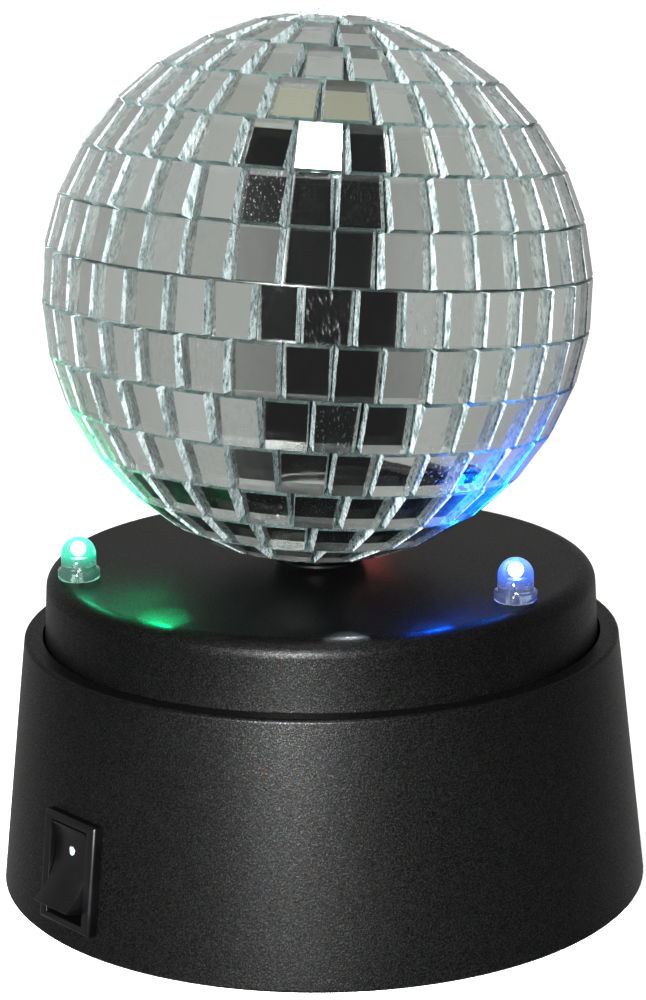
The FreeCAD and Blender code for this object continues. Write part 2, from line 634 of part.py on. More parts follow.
def circuit_board():
    """A ring board under the cover, cut clear of bosses, lugs and screw heads."""
    board = ring(BOARD_OUTER_RADIUS, BOARD_INNER_RADIUS, BOARD_BOTTOM, BOARD_TOP)
    cuts = []
    for angle in COVER_BOSS_ANGLES:
        cuts.append(cylinder(BOSS_RADIUS + 0.3, 0, COVER_TOP, polar(COVER_BOSS_CIRCLE, angle)))
        notch = block(COVER_BOSS_CIRCLE, COVER_RADIUS, -BOSS_RADIUS - 0.3, BOSS_RADIUS + 0.3, 0, COVER_TOP)
        cuts.append(turned(notch, angle))
    for angle in GEARBOX_BOSS_ANGLES:
        cuts.append(cylinder(SCREW_HEAD_RADIUS + 0.5, 0, COVER_TOP,
                             polar(GEARBOX_BOSS_CIRCLE, angle)))
    for angle in BOARD_POST_ANGLES:
        cuts.append(cylinder(SCREW_RADIUS + SCREW_CLEARANCE, 0, COVER_TOP,
                             polar(BOARD_POST_CIRCLE, angle)))
    for circle, angle in LED_PLACES.values():
        for side in (-1, 1):
            hole = cylinder(LEAD_SIDE, 0, COVER_TOP, Vector(circle, side * LEAD_SPACING / 2, 0))
            cuts.append(turned(hole, angle))
    return board.cut(cuts)


def board_resistors():
    """One chip resistor under the board beside each LED."""
    chips = []
    for circle, angle in LED_PLACES.values():
        chip = block(circle - 1.6, circle + 1.6, -0.8, 0.8, BOARD_BOTTOM - 0.6, BOARD_BOTTOM)
        chips.append(turned(chip, angle + 9.0))
    return chips


def led_frame(circle, angle):
    """The two leads of an LED: the wide one carries the cup, the other the bond post."""
    half = LEAD_SIDE / 2
    bottom = BOARD_BOTTOM - LEAD_TAIL
    neck = COVER_TOP + 0.8
    cup_top = COVER_TOP + 3.0
    leads = []
    for side in (-1, 1):
        middle = side * LEAD_SPACING / 2
        leads.append(block(-half, half, middle - half, middle + half, bottom, neck + 0.4))
    anvil = Part.makeCone(0.55, 0.85, cup_top - neck, Vector(0, 0.2, neck))
    anvil = anvil.cut(Part.makeCone(0.3, 0.6, 0.5, Vector(0, 0.2, cup_top - 0.5)))
    bridge = block(-half, half, 0.2, LEAD_SPACING / 2, neck, neck + 0.4)
    wide = fuse([leads[1], bridge, anvil])
    post = block(-half, half, -LEAD_SPACING / 2 - half, -LEAD_SPACING / 2 + half + 0.25,
                 neck, cup_top - 0.3)
    narrow = fuse([leads[0], post])
    placement = Placement(Vector(0, 0, 0), Rotation(UP, angle)).multiply(
        Placement(Vector(circle, 0, 0), Rotation()))
    return [placed(wide, placement), placed(narrow, placement)]


def led_chip(circle, angle):
    """The die in the bottom of the cup."""
    floor = COVER_TOP + 2.5
    chip = block(circle - 0.15, circle + 0.15, 0.05, 0.35, floor, floor + 0.2)
    return turned(chip, angle)


def led_lens(circle, angle):
    """The clear epoxy: a flange, a short barrel and a low dome, cast round the leads."""
    barrel_top = COVER_TOP + LED_BODY_HEIGHT
    dome_radius = (LED_BODY_RADIUS ** 2 + LED_DOME_HEIGHT ** 2) / (2 * LED_DOME_HEIGHT)
    flange = cylinder(LED_FLANGE_RADIUS, COVER_TOP, COVER_TOP + LED_FLANGE_HEIGHT)
    rim = edges_at(flange, COVER_TOP + LED_FLANGE_HEIGHT, LED_FLANGE_RADIUS)
    flange = flange.makeFillet(0.3, rim)
    barrel = cylinder(LED_BODY_RADIUS, COVER_TOP, barrel_top)
    ball = Part.makeSphere(dome_radius, Vector(0, 0, barrel_top + LED_DOME_HEIGHT - dome_radius))
    dome = ball.common(cylinder(LED_BODY_RADIUS, barrel_top, barrel_top + LED_DOME_HEIGHT + 1))
    lens = fuse([flange, barrel, dome])
    placement = Placement(Vector(0, 0, 0), Rotation(UP, angle)).multiply(
        Placement(Vector(circle, 0, 0), Rotation()))
    return placed(lens, placement).cut(led_frame(circle, angle) + [led_chip(circle, angle)])


# ---------------------------------------------------------------- gears and motor

def involute(base, angle):
    """A point of an involute, as its radius and how far round it has turned."""
    radius = base / math.cos(angle)
    return radius, math.tan(angle) - angle


def gear_blank(teeth, addendum, dedendum, tooth_deg, bottom, top):
    """A spur gear with involute flanks; one tooth is centred at tooth_deg."""
    pitch = MODULE * teeth / 2
    base = pitch * math.cos(math.radians(20))
    tip = pitch + addendum
    root = pitch - dedendum
    half_at_pitch = (math.pi * MODULE / 2 - BACKLASH) / (2 * pitch)
    spread = math.tan(math.radians(20)) - math.radians(20)
    flank = []
    start = max(base, root)
    for step in range(4):
        radius = start + (tip - start) * step / 3
        pressure = math.acos(min(1.0, base / radius))
        turn = involute(base, pressure)[1]
        flank.append((radius, half_at_pitch + spread - turn))
    if root < base:
        flank.insert(0, (root, flank[0][1]))
    corners = []
    for tooth in range(teeth):
        middle = math.radians(tooth_deg) + 2 * math.pi * tooth / teeth
        angles = [(radius, middle - half) for radius, half in flank]
        angles += [(radius, middle + half) for radius, half in reversed(flank)]
        for radius, angle in angles:
            corners.append(Vector(radius * math.cos(angle), radius * math.sin(angle), bottom))
    face = Part.Face(Part.makePolygon(corners + corners[:1]))
    return face.extrude(Vector(0, 0, top - bottom))


def pinion(tooth_deg, bottom, top):
    """A ten-tooth pinion."""
    return gear_blank(PINION_TEETH, PINION_ADDENDUM, PINION_DEDENDUM, tooth_deg, bottom, top)


def wheel(teeth, gap_deg, bottom):
    """A wheel with one gap centred at gap_deg."""
    tooth_deg = gap_deg + 180.0 / teeth
    return gear_blank(teeth, WHEEL_ADDENDUM, WHEEL_DEDENDUM, tooth_deg, bottom, bottom + GEAR_THICKNESS)


def direction_deg(start, end):
    """The angle of the line from one axis to another."""
    return math.degrees(math.atan2(end.y - start.y, end.x - start.x))


def compound_gear(centre, layer, driven_from, drives):
    """A wheel with a pinion above it, turning on a fixed pin."""
    wheel_part = wheel(WHEEL_TEETH, direction_deg(centre, driven_from), layer)
    neck = cylinder(1.9, layer + GEAR_THICKNESS, layer + GEAR_LAYER)
    small = pinion(direction_deg(centre, drives), layer + GEAR_LAYER, layer + GEAR_LAYER + GEAR_THICKNESS)
    gear = fuse([wheel_part, neck, small])
    gear = gear.cut(cylinder(GEAR_PIN_RADIUS + RUNNING_CLEARANCE, layer - 1, layer + 3 * GEAR_LAYER))
    gear.translate(Vector(centre.x, centre.y, 0))
    return gear


def output_gear():
    """The wheel pressed on the drive shaft."""
    gear = wheel(OUTPUT_TEETH, direction_deg(Vector(0, 0, 0), SECOND_GEAR), LAYER_C)
    hub = cylinder(3.2, LAYER_C - 1.2, LAYER_C + GEAR_THICKNESS)
    bore = cylinder(SHAFT_RADIUS, LAYER_C - 3, LAYER_C + 3)
    return gear.fuse(hub).removeSplitter().cut(bore)


def motor_pinion():
    """The pinion pressed on the motor's shaft."""
    teeth = pinion(direction_deg(MOTOR, FIRST_GEAR), LAYER_A - 0.4, LAYER_A + GEAR_THICKNESS)
    teeth.translate(Vector(MOTOR.x, MOTOR.y, 0))
    return teeth.cut(cylinder(MOTOR_SHAFT_RADIUS, GEARBOX_FLOOR, LAYER_C, MOTOR))


def motor_shaft():
    """The motor's shaft."""
    return cylinder(MOTOR_SHAFT_RADIUS, MOTOR_BOTTOM + 0.8, LAYER_A + GEAR_THICKNESS + 0.2, MOTOR)


def motor_screw_points():
    """The two screws that hold the motor under the gearbox, either side of its boss."""
    across = MOTOR_AZIMUTH_DEG + 90
    return [MOTOR + polar(MOTOR_SCREW_SPREAD, across), MOTOR - polar(MOTOR_SCREW_SPREAD, across)]


def motor_can():
    """The motor's can with its nose bearing, open below."""
    top = MOTOR_BOTTOM + MOTOR_HEIGHT
    low = MOTOR_BOTTOM + 1.5
    can = ring(MOTOR_RADIUS, MOTOR_RADIUS - MOTOR_WALL, low, top, MOTOR)
    roof = cylinder(MOTOR_RADIUS, top - MOTOR_WALL, top, MOTOR)
    boss = cylinder(MOTOR_BOSS_RADIUS, top - 2.0, top + 0.9, MOTOR)
    can = fuse([can, roof, boss])
    cuts = [cylinder(MOTOR_SHAFT_RADIUS + RUNNING_CLEARANCE, low, top + 2, MOTOR)]
    for point in motor_screw_points():
        cuts.append(cylinder(MOTOR_SCREW_RADIUS, top - 2, top + 1, point))
    return can.cut(cuts)


def motor_end_cap():
    """The plastic cap that closes the can and carries the rear bearing and two terminals."""
    cap = cylinder(MOTOR_RADIUS, MOTOR_BOTTOM, MOTOR_BOTTOM + 1.5, MOTOR)
    hole = cylinder(MOTOR_SHAFT_RADIUS + RUNNING_CLEARANCE, MOTOR_BOTTOM + 0.6, MOTOR_BOTTOM + 4, MOTOR)
    return cap.cut(hole)


def motor_magnet():
    """The ring magnet inside the can."""
    outer = MOTOR_RADIUS - MOTOR_WALL
    return ring(outer, outer - 2.0, MOTOR_BOTTOM + 2.2, MOTOR_BOTTOM + 9.5, MOTOR)


def motor_rotor():
    """The three-pole rotor pressed on the motor's shaft."""
    low = MOTOR_BOTTOM + 2.6
    high = MOTOR_BOTTOM + 9.0
    tip = MOTOR_RADIUS - MOTOR_WALL - 2.5
    rotor = [cylinder(2.6, low - 0.4, high, MOTOR)]
    for index in range(3):
        arm = block(0, tip - 1.0, -1.2, 1.2, low, high)
        shoe = ring(tip, tip - 1.4, low, high).common(block(0, tip + 1, -tip * 0.75, tip * 0.75, low, high))
        pole = turned(fuse([arm, shoe]), index * 120)
        pole.translate(Vector(MOTOR.x, MOTOR.y, 0))
        rotor.append(pole)
    return fuse(rotor).cut(cylinder(MOTOR_SHAFT_RADIUS, low - 2, high + 2, MOTOR))


def gear_pins():
    """The two fixed pins that the compound gears turn on."""
    return [cylinder(GEAR_PIN_RADIUS, GEARBOX_BOTTOM + 0.3, LID_TOP - 0.2, centre)
            for centre in (FIRST_GEAR, SECOND_GEAR)]


def lugs(bottom, top):
    """Three ears that reach out to the cover's bosses."""
    ears = []
    for angle in GEARBOX_BOSS_ANGLES:
        ear = block(GEARBOX_RADIUS - 1, GEARBOX_BOSS_CIRCLE, -LUG_WIDTH / 2, LUG_WIDTH / 2, bottom, top)
        tip = cylinder(LUG_WIDTH / 2, bottom, top, Vector(GEARBOX_BOSS_CIRCLE, 0, 0))
        ears.append(turned(fuse([ear, tip]), angle))
    return ears


def lug_holes():
    """The screw holes through the ears."""
    return [cylinder(SCREW_RADIUS + SCREW_CLEARANCE, 0, COVER_TOP, polar(GEARBOX_BOSS_CIRCLE, angle))
            for angle in GEARBOX_BOSS_ANGLES]


def gearbox_cup():
    """The lower half of the gearbox: a floor that carries the motor, a wall and three ears."""
    floor = cylinder(GEARBOX_RADIUS, GEARBOX_BOTTOM, GEARBOX_FLOOR)
    wall = ring(GEARBOX_RADIUS, GEARBOX_RADIUS - GEARBOX_WALL, GEARBOX_BOTTOM, LID_BOTTOM)
    cup = fuse([floor, wall] + lugs(LID_BOTTOM - LUG_THICKNESS, LID_BOTTOM))
    cuts = lug_holes()
    cuts.append(cylinder(SHAFT_RADIUS + RUNNING_CLEARANCE, GEARBOX_BOTTOM + 0.3, LID_TOP))
    cuts.append(cylinder(MOTOR_BOSS_RADIUS + 0.1, GEARBOX_BOTTOM - 1, GEARBOX_FLOOR + 1, MOTOR))
    for centre in (FIRST_GEAR, SECOND_GEAR):
        cuts.append(cylinder(GEAR_PIN_RADIUS, GEARBOX_BOTTOM + 0.3, LID_TOP, centre))
    for point in motor_screw_points():
        cuts.append(cylinder(MOTOR_SCREW_RADIUS + 0.1, GEARBOX_BOTTOM - 1, GEARBOX_FLOOR + 1, point))
        cuts.append(cylinder(MOTOR_SCREW_HEAD_RADIUS + 0.1, GEARBOX_FLOOR - MOTOR_SCREW_HEAD_HEIGHT,
                             GEARBOX_FLOOR + 1, point))
    return cup.cut(cuts)


def gearbox_lid():
    """The lid of the gearbox."""
    lid = fuse([cylinder(GEARBOX_RADIUS, LID_BOTTOM, LID_TOP)] + lugs(LID_BOTTOM, LID_TOP))
    cuts = lug_holes()
    cuts.append(cylinder(SHAFT_RADIUS + RUNNING_CLEARANCE, LID_BOTTOM - 1, LID_TOP + 1))
    for centre in (FIRST_GEAR, SECOND_GEAR):
        cuts.append(cylinder(GEAR_PIN_RADIUS, LID_BOTTOM - 1, LID_TOP - 0.2, centre))
    return lid.cut(cuts)


# ---------------------------------------------------------------- ball

def drive_shaft():
    """The shaft from the gearbox floor up into the ball's hub."""
    return cylinder(SHAFT_RADIUS, GEARBOX_BOTTOM + 0.5, HUB_BOTTOM + HUB_NECK_TOP - 1.5)


def ball_hub():
    """The collar under the ball, with a neck glued into the ball."""
    disc = cylinder(HUB_RADIUS, HUB_BOTTOM, HUB_DISC_TOP)
    disc = disc.makeFillet(0.25, edges_at(disc, HUB_BOTTOM, HUB_RADIUS))
    neck = cylinder(HUB_NECK_RADIUS, HUB_BOTTOM, HUB_BOTTOM + HUB_NECK_TOP)
    bore = cylinder(SHAFT_RADIUS, HUB_BOTTOM - 1, HUB_BOTTOM + HUB_NECK_TOP - 1.5)
    return fuse([disc, neck]).cut(bore)


def ball_core(upper):
    """Half of the hollow plastic ball; the lower half has a lip and the hub's hole."""
    centre = Vector(0, 0, BALL_CENTRE)
    shell = Part.makeSphere(CORE_RADIUS, centre).cut(Part.makeSphere(CORE_RADIUS - CORE_WALL, centre))
    reach = CORE_RADIUS + 5
    if upper:
        return shell.common(cylinder(reach, BALL_CENTRE, BALL_CENTRE + reach))
    half = shell.common(cylinder(reach, BALL_CENTRE - reach, BALL_CENTRE))
    inside = CORE_RADIUS - CORE_WALL
    lip = lathe([(inside - 1.0, BALL_CENTRE - CORE_LIP), (inside + 0.3, BALL_CENTRE - CORE_LIP),
                 (inside + 0.3, BALL_CENTRE), (inside - 0.1, BALL_CENTRE),
                 (inside - 0.1, BALL_CENTRE + CORE_LIP), (inside - 1.0, BALL_CENTRE + CORE_LIP)])
    hole = cylinder(HUB_NECK_RADIUS, BALL_CENTRE - reach, BALL_CENTRE - inside + 5)
    return fuse([half, lip]).cut(hole)


def lattice_placement():
    """The tilt of the tile rows on the ball."""
    across = polar(1.0, LATTICE_TILT_TOWARDS_DEG + 90)
    return Placement(Vector(0, 0, BALL_CENTRE), Rotation(across, LATTICE_TILT_DEG))


LATTICE = lattice_placement()


def tile_solid(south_width, north_width, south, north, back):
    """A glass tile lying at distance back along Z, from its south edge to its north edge along Y."""
    corners = [Vector(-south_width / 2, south, back), Vector(south_width / 2, south, back),
               Vector(north_width / 2, north, back), Vector(-north_width / 2, north, back)]
    face = Part.Face(Part.makePolygon(corners + corners[:1]))
    return face.extrude(Vector(0, 0, TILE_THICKNESS))


def tile_placement(latitude, azimuth):
    """Stand a tile on the ball at a latitude and an azimuth of the lattice."""
    outwards = Rotation(UP, azimuth).multiply(Rotation(Vector(0, 1, 0), 90 - latitude))
    east_first = outwards.multiply(Rotation(UP, 90))
    return LATTICE.multiply(Placement(Vector(0, 0, 0), east_first))


def row_latitude(index):
    """The latitude of a row's middle; the two end rows are cut short towards the poles."""
    middle = FIRST_ROW_TOP_DEG - (index + 0.5) * ROW_PITCH_DEG
    shift = math.degrees((TILE_HEIGHT - END_ROW_HEIGHT) / 2 / TILE_FACE)
    if index == 0:
        return middle - shift
    if index == ROW_COUNT - 1:
        return middle + shift
    return middle


def row_shares(index, latitude):
    """How many degrees each tile of a row takes; hand-cut tiles differ in width."""
    girth = 2 * math.pi * TILE_BACK * math.cos(math.radians(latitude))
    count = max(6, round(girth / (TILE_WIDTH * 0.993)))
    weights = []
    for tile in range(count):
        wobble = math.sin(12.9898 * (tile + 1) + 78.233 * (index + 1)) * 43758.5453
        weights.append(1.0 + 0.16 * (wobble - math.floor(wobble) - 0.5))
    return [360.0 * weight / sum(weights) for weight in weights]


def row_tile(latitude, share, height, azimuth):
    """One tile of a row, narrowed where the row closes up and cut short where its corners spread."""
    slope = math.radians(latitude)
    wanted = 2 * TILE_BACK * math.cos(slope) * math.tan(math.radians(share / 2)) - TILE_GAP
    widest = min(wanted, TILE_WIDTH * 1.12)
    widths = []
    for side in (-1, 1):
        radius = TILE_BACK * math.cos(slope) - side * height / 2 * math.sin(slope)
        room = 2 * radius * math.tan(math.radians(share / 2)) - TILE_GAP
        widths.append(min(widest, room))
    spread = widest ** 2 / 8 * abs(math.tan(slope)) / TILE_BACK
    south = -height / 2 + (spread if latitude > 0 else 0)
    north = height / 2 - (spread if latitude < 0 else 0)
    tile = tile_solid(widths[0], widths[1], south, north, TILE_BACK)
    return placed(tile, tile_placement(latitude, azimuth))


def top_row_tile(latitude, share, azimuth, top_tile):
    """A tile of the first row, cut shorter until it clears the square tile over the pole."""
    height = END_ROW_HEIGHT
    foot = math.degrees(END_ROW_HEIGHT / 2 / TILE_FACE)
    while True:
        middle = latitude - foot + math.degrees(height / 2 / TILE_FACE)
        tile = row_tile(middle, share, height, azimuth)
        if tile.distToShape(top_tile)[0] >= TOP_TILE_CLEARANCE or height < END_ROW_HEIGHT / 2:
            return tile
        height -= TRIM_STEP


def mirror_row(index):
    """One ring of tiles, leaving out those that would foul the hub."""
    latitude = row_latitude(index)
    height = END_ROW_HEIGHT if index in (0, ROW_COUNT - 1) else TILE_HEIGHT
    hub_room = fuse([cylinder(HUB_RADIUS + 0.2, HUB_BOTTOM - 5, HUB_DISC_TOP + 0.1),
                     cylinder(HUB_NECK_RADIUS + 0.3, HUB_BOTTOM, HUB_BOTTOM + 6)])
    top_tile = mirror_top_tile()
    azimuth = -90 + ROW_STARTS_DEG[index]
    tiles = []
    for share in row_shares(index, latitude):
        middle = azimuth + share / 2
        azimuth += share
        if index == 0:
            tile = top_row_tile(latitude, share, middle, top_tile)
        else:
            tile = row_tile(latitude, share, height, middle)
        if tile.distToShape(hub_room)[0] > 0.05:
            tiles.append(tile)
    return tiles


def mirror_top_tile():
    """The square tile glued over the pole, a little off centre."""
    half = TOP_TILE_SIDE / 2
    tile = tile_solid(TOP_TILE_SIDE, TOP_TILE_SIDE, -half, half, TILE_BACK + TOP_TILE_LIFT)
    tile.translate(Vector(TOP_TILE_SHIFT, 0, 0))
    return placed(tile, LATTICE)


# ---------------------------------------------------------------- screws and wires

def cover_screws():
    """Three screws up through the ledge's tabs and three that hold the board."""
    screws = []
    for angle in COVER_BOSS_ANGLES:
        part = screw(LEDGE_BOTTOM)
        part.translate(polar(COVER_BOSS_CIRCLE, angle))
        screws.append(part)
    for angle in BOARD_POST_ANGLES:
        part = screw(BOARD_BOTTOM, length=min(SCREW_LENGTH, COVER_UNDERSIDE - BOARD_BOTTOM))
        part.translate(polar(BOARD_POST_CIRCLE, angle))
        screws.append(part)
    return screws


def gearbox_screws():
    """Three screws through both sets of ears into the cover's short bosses."""
    screws = []
    seat = LID_BOTTOM - LUG_THICKNESS
    for angle in GEARBOX_BOSS_ANGLES:
        part = screw(seat, length=COVER_TOP - 0.8 - seat)
        part.translate(polar(GEARBOX_BOSS_CIRCLE, angle))
        screws.append(part)
    return screws


def bottom_screws():
    """Three screws up through the bottom plate into the skirt's bosses."""
    screws = []
    for angle in PLATE_BOSS_ANGLES:
        part = screw(PLATE_LIFT)
        part.translate(polar(PLATE_BOSS_CIRCLE, angle + BAY_TURN_DEG))
        screws.append(part)
    return screws


def motor_screws():
    """Two short screws down through the gearbox floor into the motor's can."""
    screws = []
    for point in motor_screw_points():
        head = cylinder(MOTOR_SCREW_HEAD_RADIUS, GEARBOX_FLOOR - MOTOR_SCREW_HEAD_HEIGHT, GEARBOX_FLOOR)
        shank = cylinder(MOTOR_SCREW_RADIUS, MOTOR_BOTTOM + MOTOR_HEIGHT - MOTOR_WALL, GEARBOX_FLOOR)
        slot = block(-1.2, 1.2, -0.25, 0.25, GEARBOX_FLOOR - 0.35, GEARBOX_FLOOR + 1)
        part = fuse([head, shank]).cut(slot)
        part.translate(point)
        screws.append(part)
    return screws


def wire(points):
    """An insulated wire: straight runs joined by tangent arcs."""
    edges = []
    start = points[0]
    for before, corner, after in zip(points, points[1:], points[2:]):
        back = (before - corner)
        ahead = (after - corner)
        run = 0.45 * min(back.Length, ahead.Length)
        back.normalize()
        ahead.normalize()
        entry = corner + back * run
        leave = corner + ahead * run
        turn = math.pi - back.getAngle(ahead)
        radius = run / math.tan(turn / 2)
        middle_way = (back + ahead)
        middle_way.normalize()
        middle = corner + middle_way * (radius / math.cos(turn / 2) - radius)
        print("  wire bend radius", round(radius, 1))
        edges.append(Part.makeLine(start, entry))
        edges.append(Part.Arc(entry, middle, leave).toShape())
        start = leave
    edges.append(Part.makeLine(start, points[-1]))
    path = Part.Wire(edges)
    section = Part.Wire([Part.makeCircle(WIRE_RADIUS, points[0], points[1] - points[0])])
    return path.makePipeShell([section], True, False)


def bay_point(x, y, height):
    """A point given in the bay's own directions."""
    return Rotation(UP, BAY_TURN_DEG).multVec(Vector(x, y, height))


def motor_point(out, across, height):
    """A point given out along the motor's direction and across it."""
    return Rotation(UP, MOTOR_AZIMUTH_DEG).multVec(Vector(out, across, height))


def terminal_point(side, back, across=0.0):
    """A point at the tip of one of the switch's blades."""
    return SWITCH_SEAT.multVec(Vector(-SWITCH_DEPTH - 5.0 + back, across, side * 3.5))


def wires_red():
    """Cells to switch, switch to board and board to motor."""
    tab_x = BAY_HALF_LENGTH - CONTACT_THICKNESS / 2
    tab_top = BAY_TOP + 1.5 + WIRE_RADIUS
    upper = terminal_point(1, 1.5) + Vector(0, 0, 0.25 + WIRE_RADIUS)
    lower = terminal_point(-1, 1.5, 2.0 + WIRE_RADIUS)
    cell_to_switch = wire([
        bay_point(tab_x, -CELL_PITCH, tab_top - WIRE_RADIUS), bay_point(tab_x, -CELL_PITCH, tab_top + 4),
        bay_point(24, -27, tab_top + 5), bay_point(9, -29.5, tab_top + 4),
        upper + Vector(0, 0, 8.5), upper])
    side = lower + bay_point(3.6, 0.0, 0.0)
    switch_to_board = wire([
        lower, side + Vector(0, 0, 2.5), side + Vector(0, 0, 12),
        side + bay_point(0.5, -1.5, BOARD_BOTTOM - SOLDER_GAP - side.z)])
    board_to_motor = wire([
        motor_point(MOTOR_DISTANCE + MOTOR_RADIUS, -2.5, MOTOR_BOTTOM + 0.9),
        motor_point(MOTOR_DISTANCE + MOTOR_RADIUS + 4, -2.5, MOTOR_BOTTOM + 1.5),
        motor_point(30.5, -2.5, MOTOR_BOTTOM + 7), motor_point(30.7, -2.5, BOARD_BOTTOM - SOLDER_GAP)])
    return [cell_to_switch, switch_to_board, board_to_motor]


def wires_black():
    """Cells to board and board to motor."""
    tab_x = BAY_HALF_LENGTH - CONTACT_THICKNESS / 2
    tab_top = BAY_TOP + 1.5 + SOLDER_GAP
    cell_to_board = wire([
        bay_point(-tab_x, CELL_PITCH, tab_top), bay_point(-tab_x - 0.6, CELL_PITCH + 0.5, tab_top + 8),
        bay_point(-tab_x + 0.8, CELL_PITCH + 1.2, BOARD_BOTTOM - SOLDER_GAP)])
    board_to_motor = wire([
        motor_point(MOTOR_DISTANCE + MOTOR_RADIUS, 2.5, MOTOR_BOTTOM + 0.9),
        motor_point(MOTOR_DISTANCE + MOTOR_RADIUS + 4, 2.5, MOTOR_BOTTOM + 1.5),
        motor_point(30.5, 2.5, MOTOR_BOTTOM + 7), motor_point(30.7, 2.5, BOARD_BOTTOM - SOLDER_GAP)])
    return [cell_to_board, board_to_motor]


def main():
    os.makedirs("parts", exist_ok=True)
    save("base_body", base_body())
    save("top_cover", top_cover())
    save("shaft_bush", shaft_bush())
    save("bottom_plate", bottom_plate())
    save("battery_door", battery_door())
    for index in range(CELL_COUNT):
        save("battery_" + str(index + 1), cell(index))
    save("battery_contacts", battery_contacts())
    save("battery_springs", battery_springs())
    save("switch_housing", switch_housing())
    save("switch_rocker", switch_rocker())
    save("switch_terminals", switch_terminals())
    save("circuit_board", circuit_board())
    save("board_resistors", board_resistors())
    for colour, (circle, angle) in LED_PLACES.items():
        save("led_" + colour + "_lens", led_lens(circle, angle))
        save("led_" + colour + "_frame", led_frame(circle, angle))
    save("led_chips", [led_chip(circle, angle) for circle, angle in LED_PLACES.values()])
    save("motor_can", motor_can())
    save("motor_end_cap", motor_end_cap())
    save("motor_magnet", motor_magnet())
    save("motor_shaft", motor_shaft())
    save("motor_rotor", motor_rotor())
    save("motor_pinion", motor_pinion())
    save("gear_first", compound_gear(FIRST_GEAR, LAYER_A, MOTOR, SECOND_GEAR))
    save("gear_second", compound_gear(SECOND_GEAR, LAYER_B, FIRST_GEAR, Vector(0, 0, 0)))
    save("gear_pins", gear_pins())
    save("gearbox_cup", gearbox_cup())
    save("gearbox_lid", gearbox_lid())
    save("gearbox_screws", gearbox_screws())
    save("cover_screws", cover_screws())
    save("bottom_screws", bottom_screws())
    save("motor_screws", motor_screws())
    save("wires_red", wires_red())
    save("wires_black", wires_black())
    save("output_gear", output_gear())
    save("drive_shaft", drive_shaft())
    save("ball_hub", ball_hub())
    save("ball_core_lower", ball_core(False))
    save("ball_core_upper", ball_core(True))
    save("mirror_top_tile", mirror_top_tile())
    for index in range(ROW_COUNT):
        save("mirror_row_%02d" % (index + 1), mirror_row(index))


main()
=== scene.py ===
"""The looks of a battery mirror ball: glass tiles, lit LEDs, moulded base and its works."""

import json
import logging
import math
import random
from dataclasses import dataclass, field
from enum import Enum
from typing import Dict, Iterable, List, Optional, Sequence, Tuple, Union

import bmesh
import bpy
from mathutils import Matrix, Vector


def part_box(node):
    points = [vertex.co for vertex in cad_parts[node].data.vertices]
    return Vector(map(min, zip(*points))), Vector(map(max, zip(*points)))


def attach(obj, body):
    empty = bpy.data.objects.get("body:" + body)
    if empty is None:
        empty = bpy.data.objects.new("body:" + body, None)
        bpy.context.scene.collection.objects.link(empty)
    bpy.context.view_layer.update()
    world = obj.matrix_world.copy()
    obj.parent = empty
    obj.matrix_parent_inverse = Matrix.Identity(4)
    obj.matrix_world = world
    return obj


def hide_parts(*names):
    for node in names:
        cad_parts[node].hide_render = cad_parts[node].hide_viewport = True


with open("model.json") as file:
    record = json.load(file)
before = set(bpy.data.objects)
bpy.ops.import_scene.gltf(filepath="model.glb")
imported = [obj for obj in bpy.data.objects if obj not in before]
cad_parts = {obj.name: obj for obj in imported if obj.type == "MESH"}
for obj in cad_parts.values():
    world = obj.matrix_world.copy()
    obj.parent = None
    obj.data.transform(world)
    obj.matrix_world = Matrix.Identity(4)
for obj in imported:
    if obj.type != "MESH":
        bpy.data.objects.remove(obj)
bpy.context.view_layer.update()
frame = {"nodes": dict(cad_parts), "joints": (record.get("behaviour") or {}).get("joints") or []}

log = logging.getLogger("mirror_ball")
Colour = Tuple[float, float, float]
MM = 0.001
UP = Vector((0.0, 0.0, 1.0))
BALL_CENTRE = Vector((0.0, 0.0, 84.5 * MM))
WARM_FLECK: Colour = (0.018, 0.014, 0.0115)
COOL_FLECK: Colour = (0.012, 0.0155, 0.018)
MERGE = 0.002 * MM


class Socket:
    """A shader socket that takes part in Python arithmetic."""

    def __init__(self, shader: "Shader", output: bpy.types.NodeSocket) -> None:
        """Holds an output socket and the shader it belongs to."""
        self.shader = shader
        self.output = output

    def maths(self, operation: str, *values: "Operand") -> "Socket":
        """Adds one Math node.

        Args:
            operation: the node's operation.
            values: the node's inputs in order.

        Returns:
            The node's value.
        """
        return self.shader.node("ShaderNodeMath", {"operation": operation}, dict(enumerate(values)))

    def __add__(self, other: "Operand") -> "Socket":
        """This plus another."""
        return self.maths("ADD", self, other)

    def __radd__(self, other: "Operand") -> "Socket":
        """Another plus this."""
        return self.maths("ADD", other, self)

    def __sub__(self, other: "Operand") -> "Socket":
        """This less another."""
        return self.maths("SUBTRACT", self, other)

    def __rsub__(self, other: "Operand") -> "Socket":
        """Another less this."""
        return self.maths("SUBTRACT", other, self)

    def __mul__(self, other: "Operand") -> "Socket":
        """This times another."""
        return self.maths("MULTIPLY", self, other)

    def __rmul__(self, other: "Operand") -> "Socket":
        """Another times this."""
        return self.maths("MULTIPLY", other, self)

    def __abs__(self) -> "Socket":
        """This without its sign."""
        return self.maths("ABSOLUTE", self)

    def step(self, low: float, high: float) -> "Socket":
        """0 at low and 1 at high, eased between them; low may be the greater."""
        return self.shader.node(
            "ShaderNodeMapRange", {"interpolation_type": "SMOOTHSTEP"},
            {"Value": self, "From Min": low, "From Max": high})


Operand = Union[Socket, float, int]


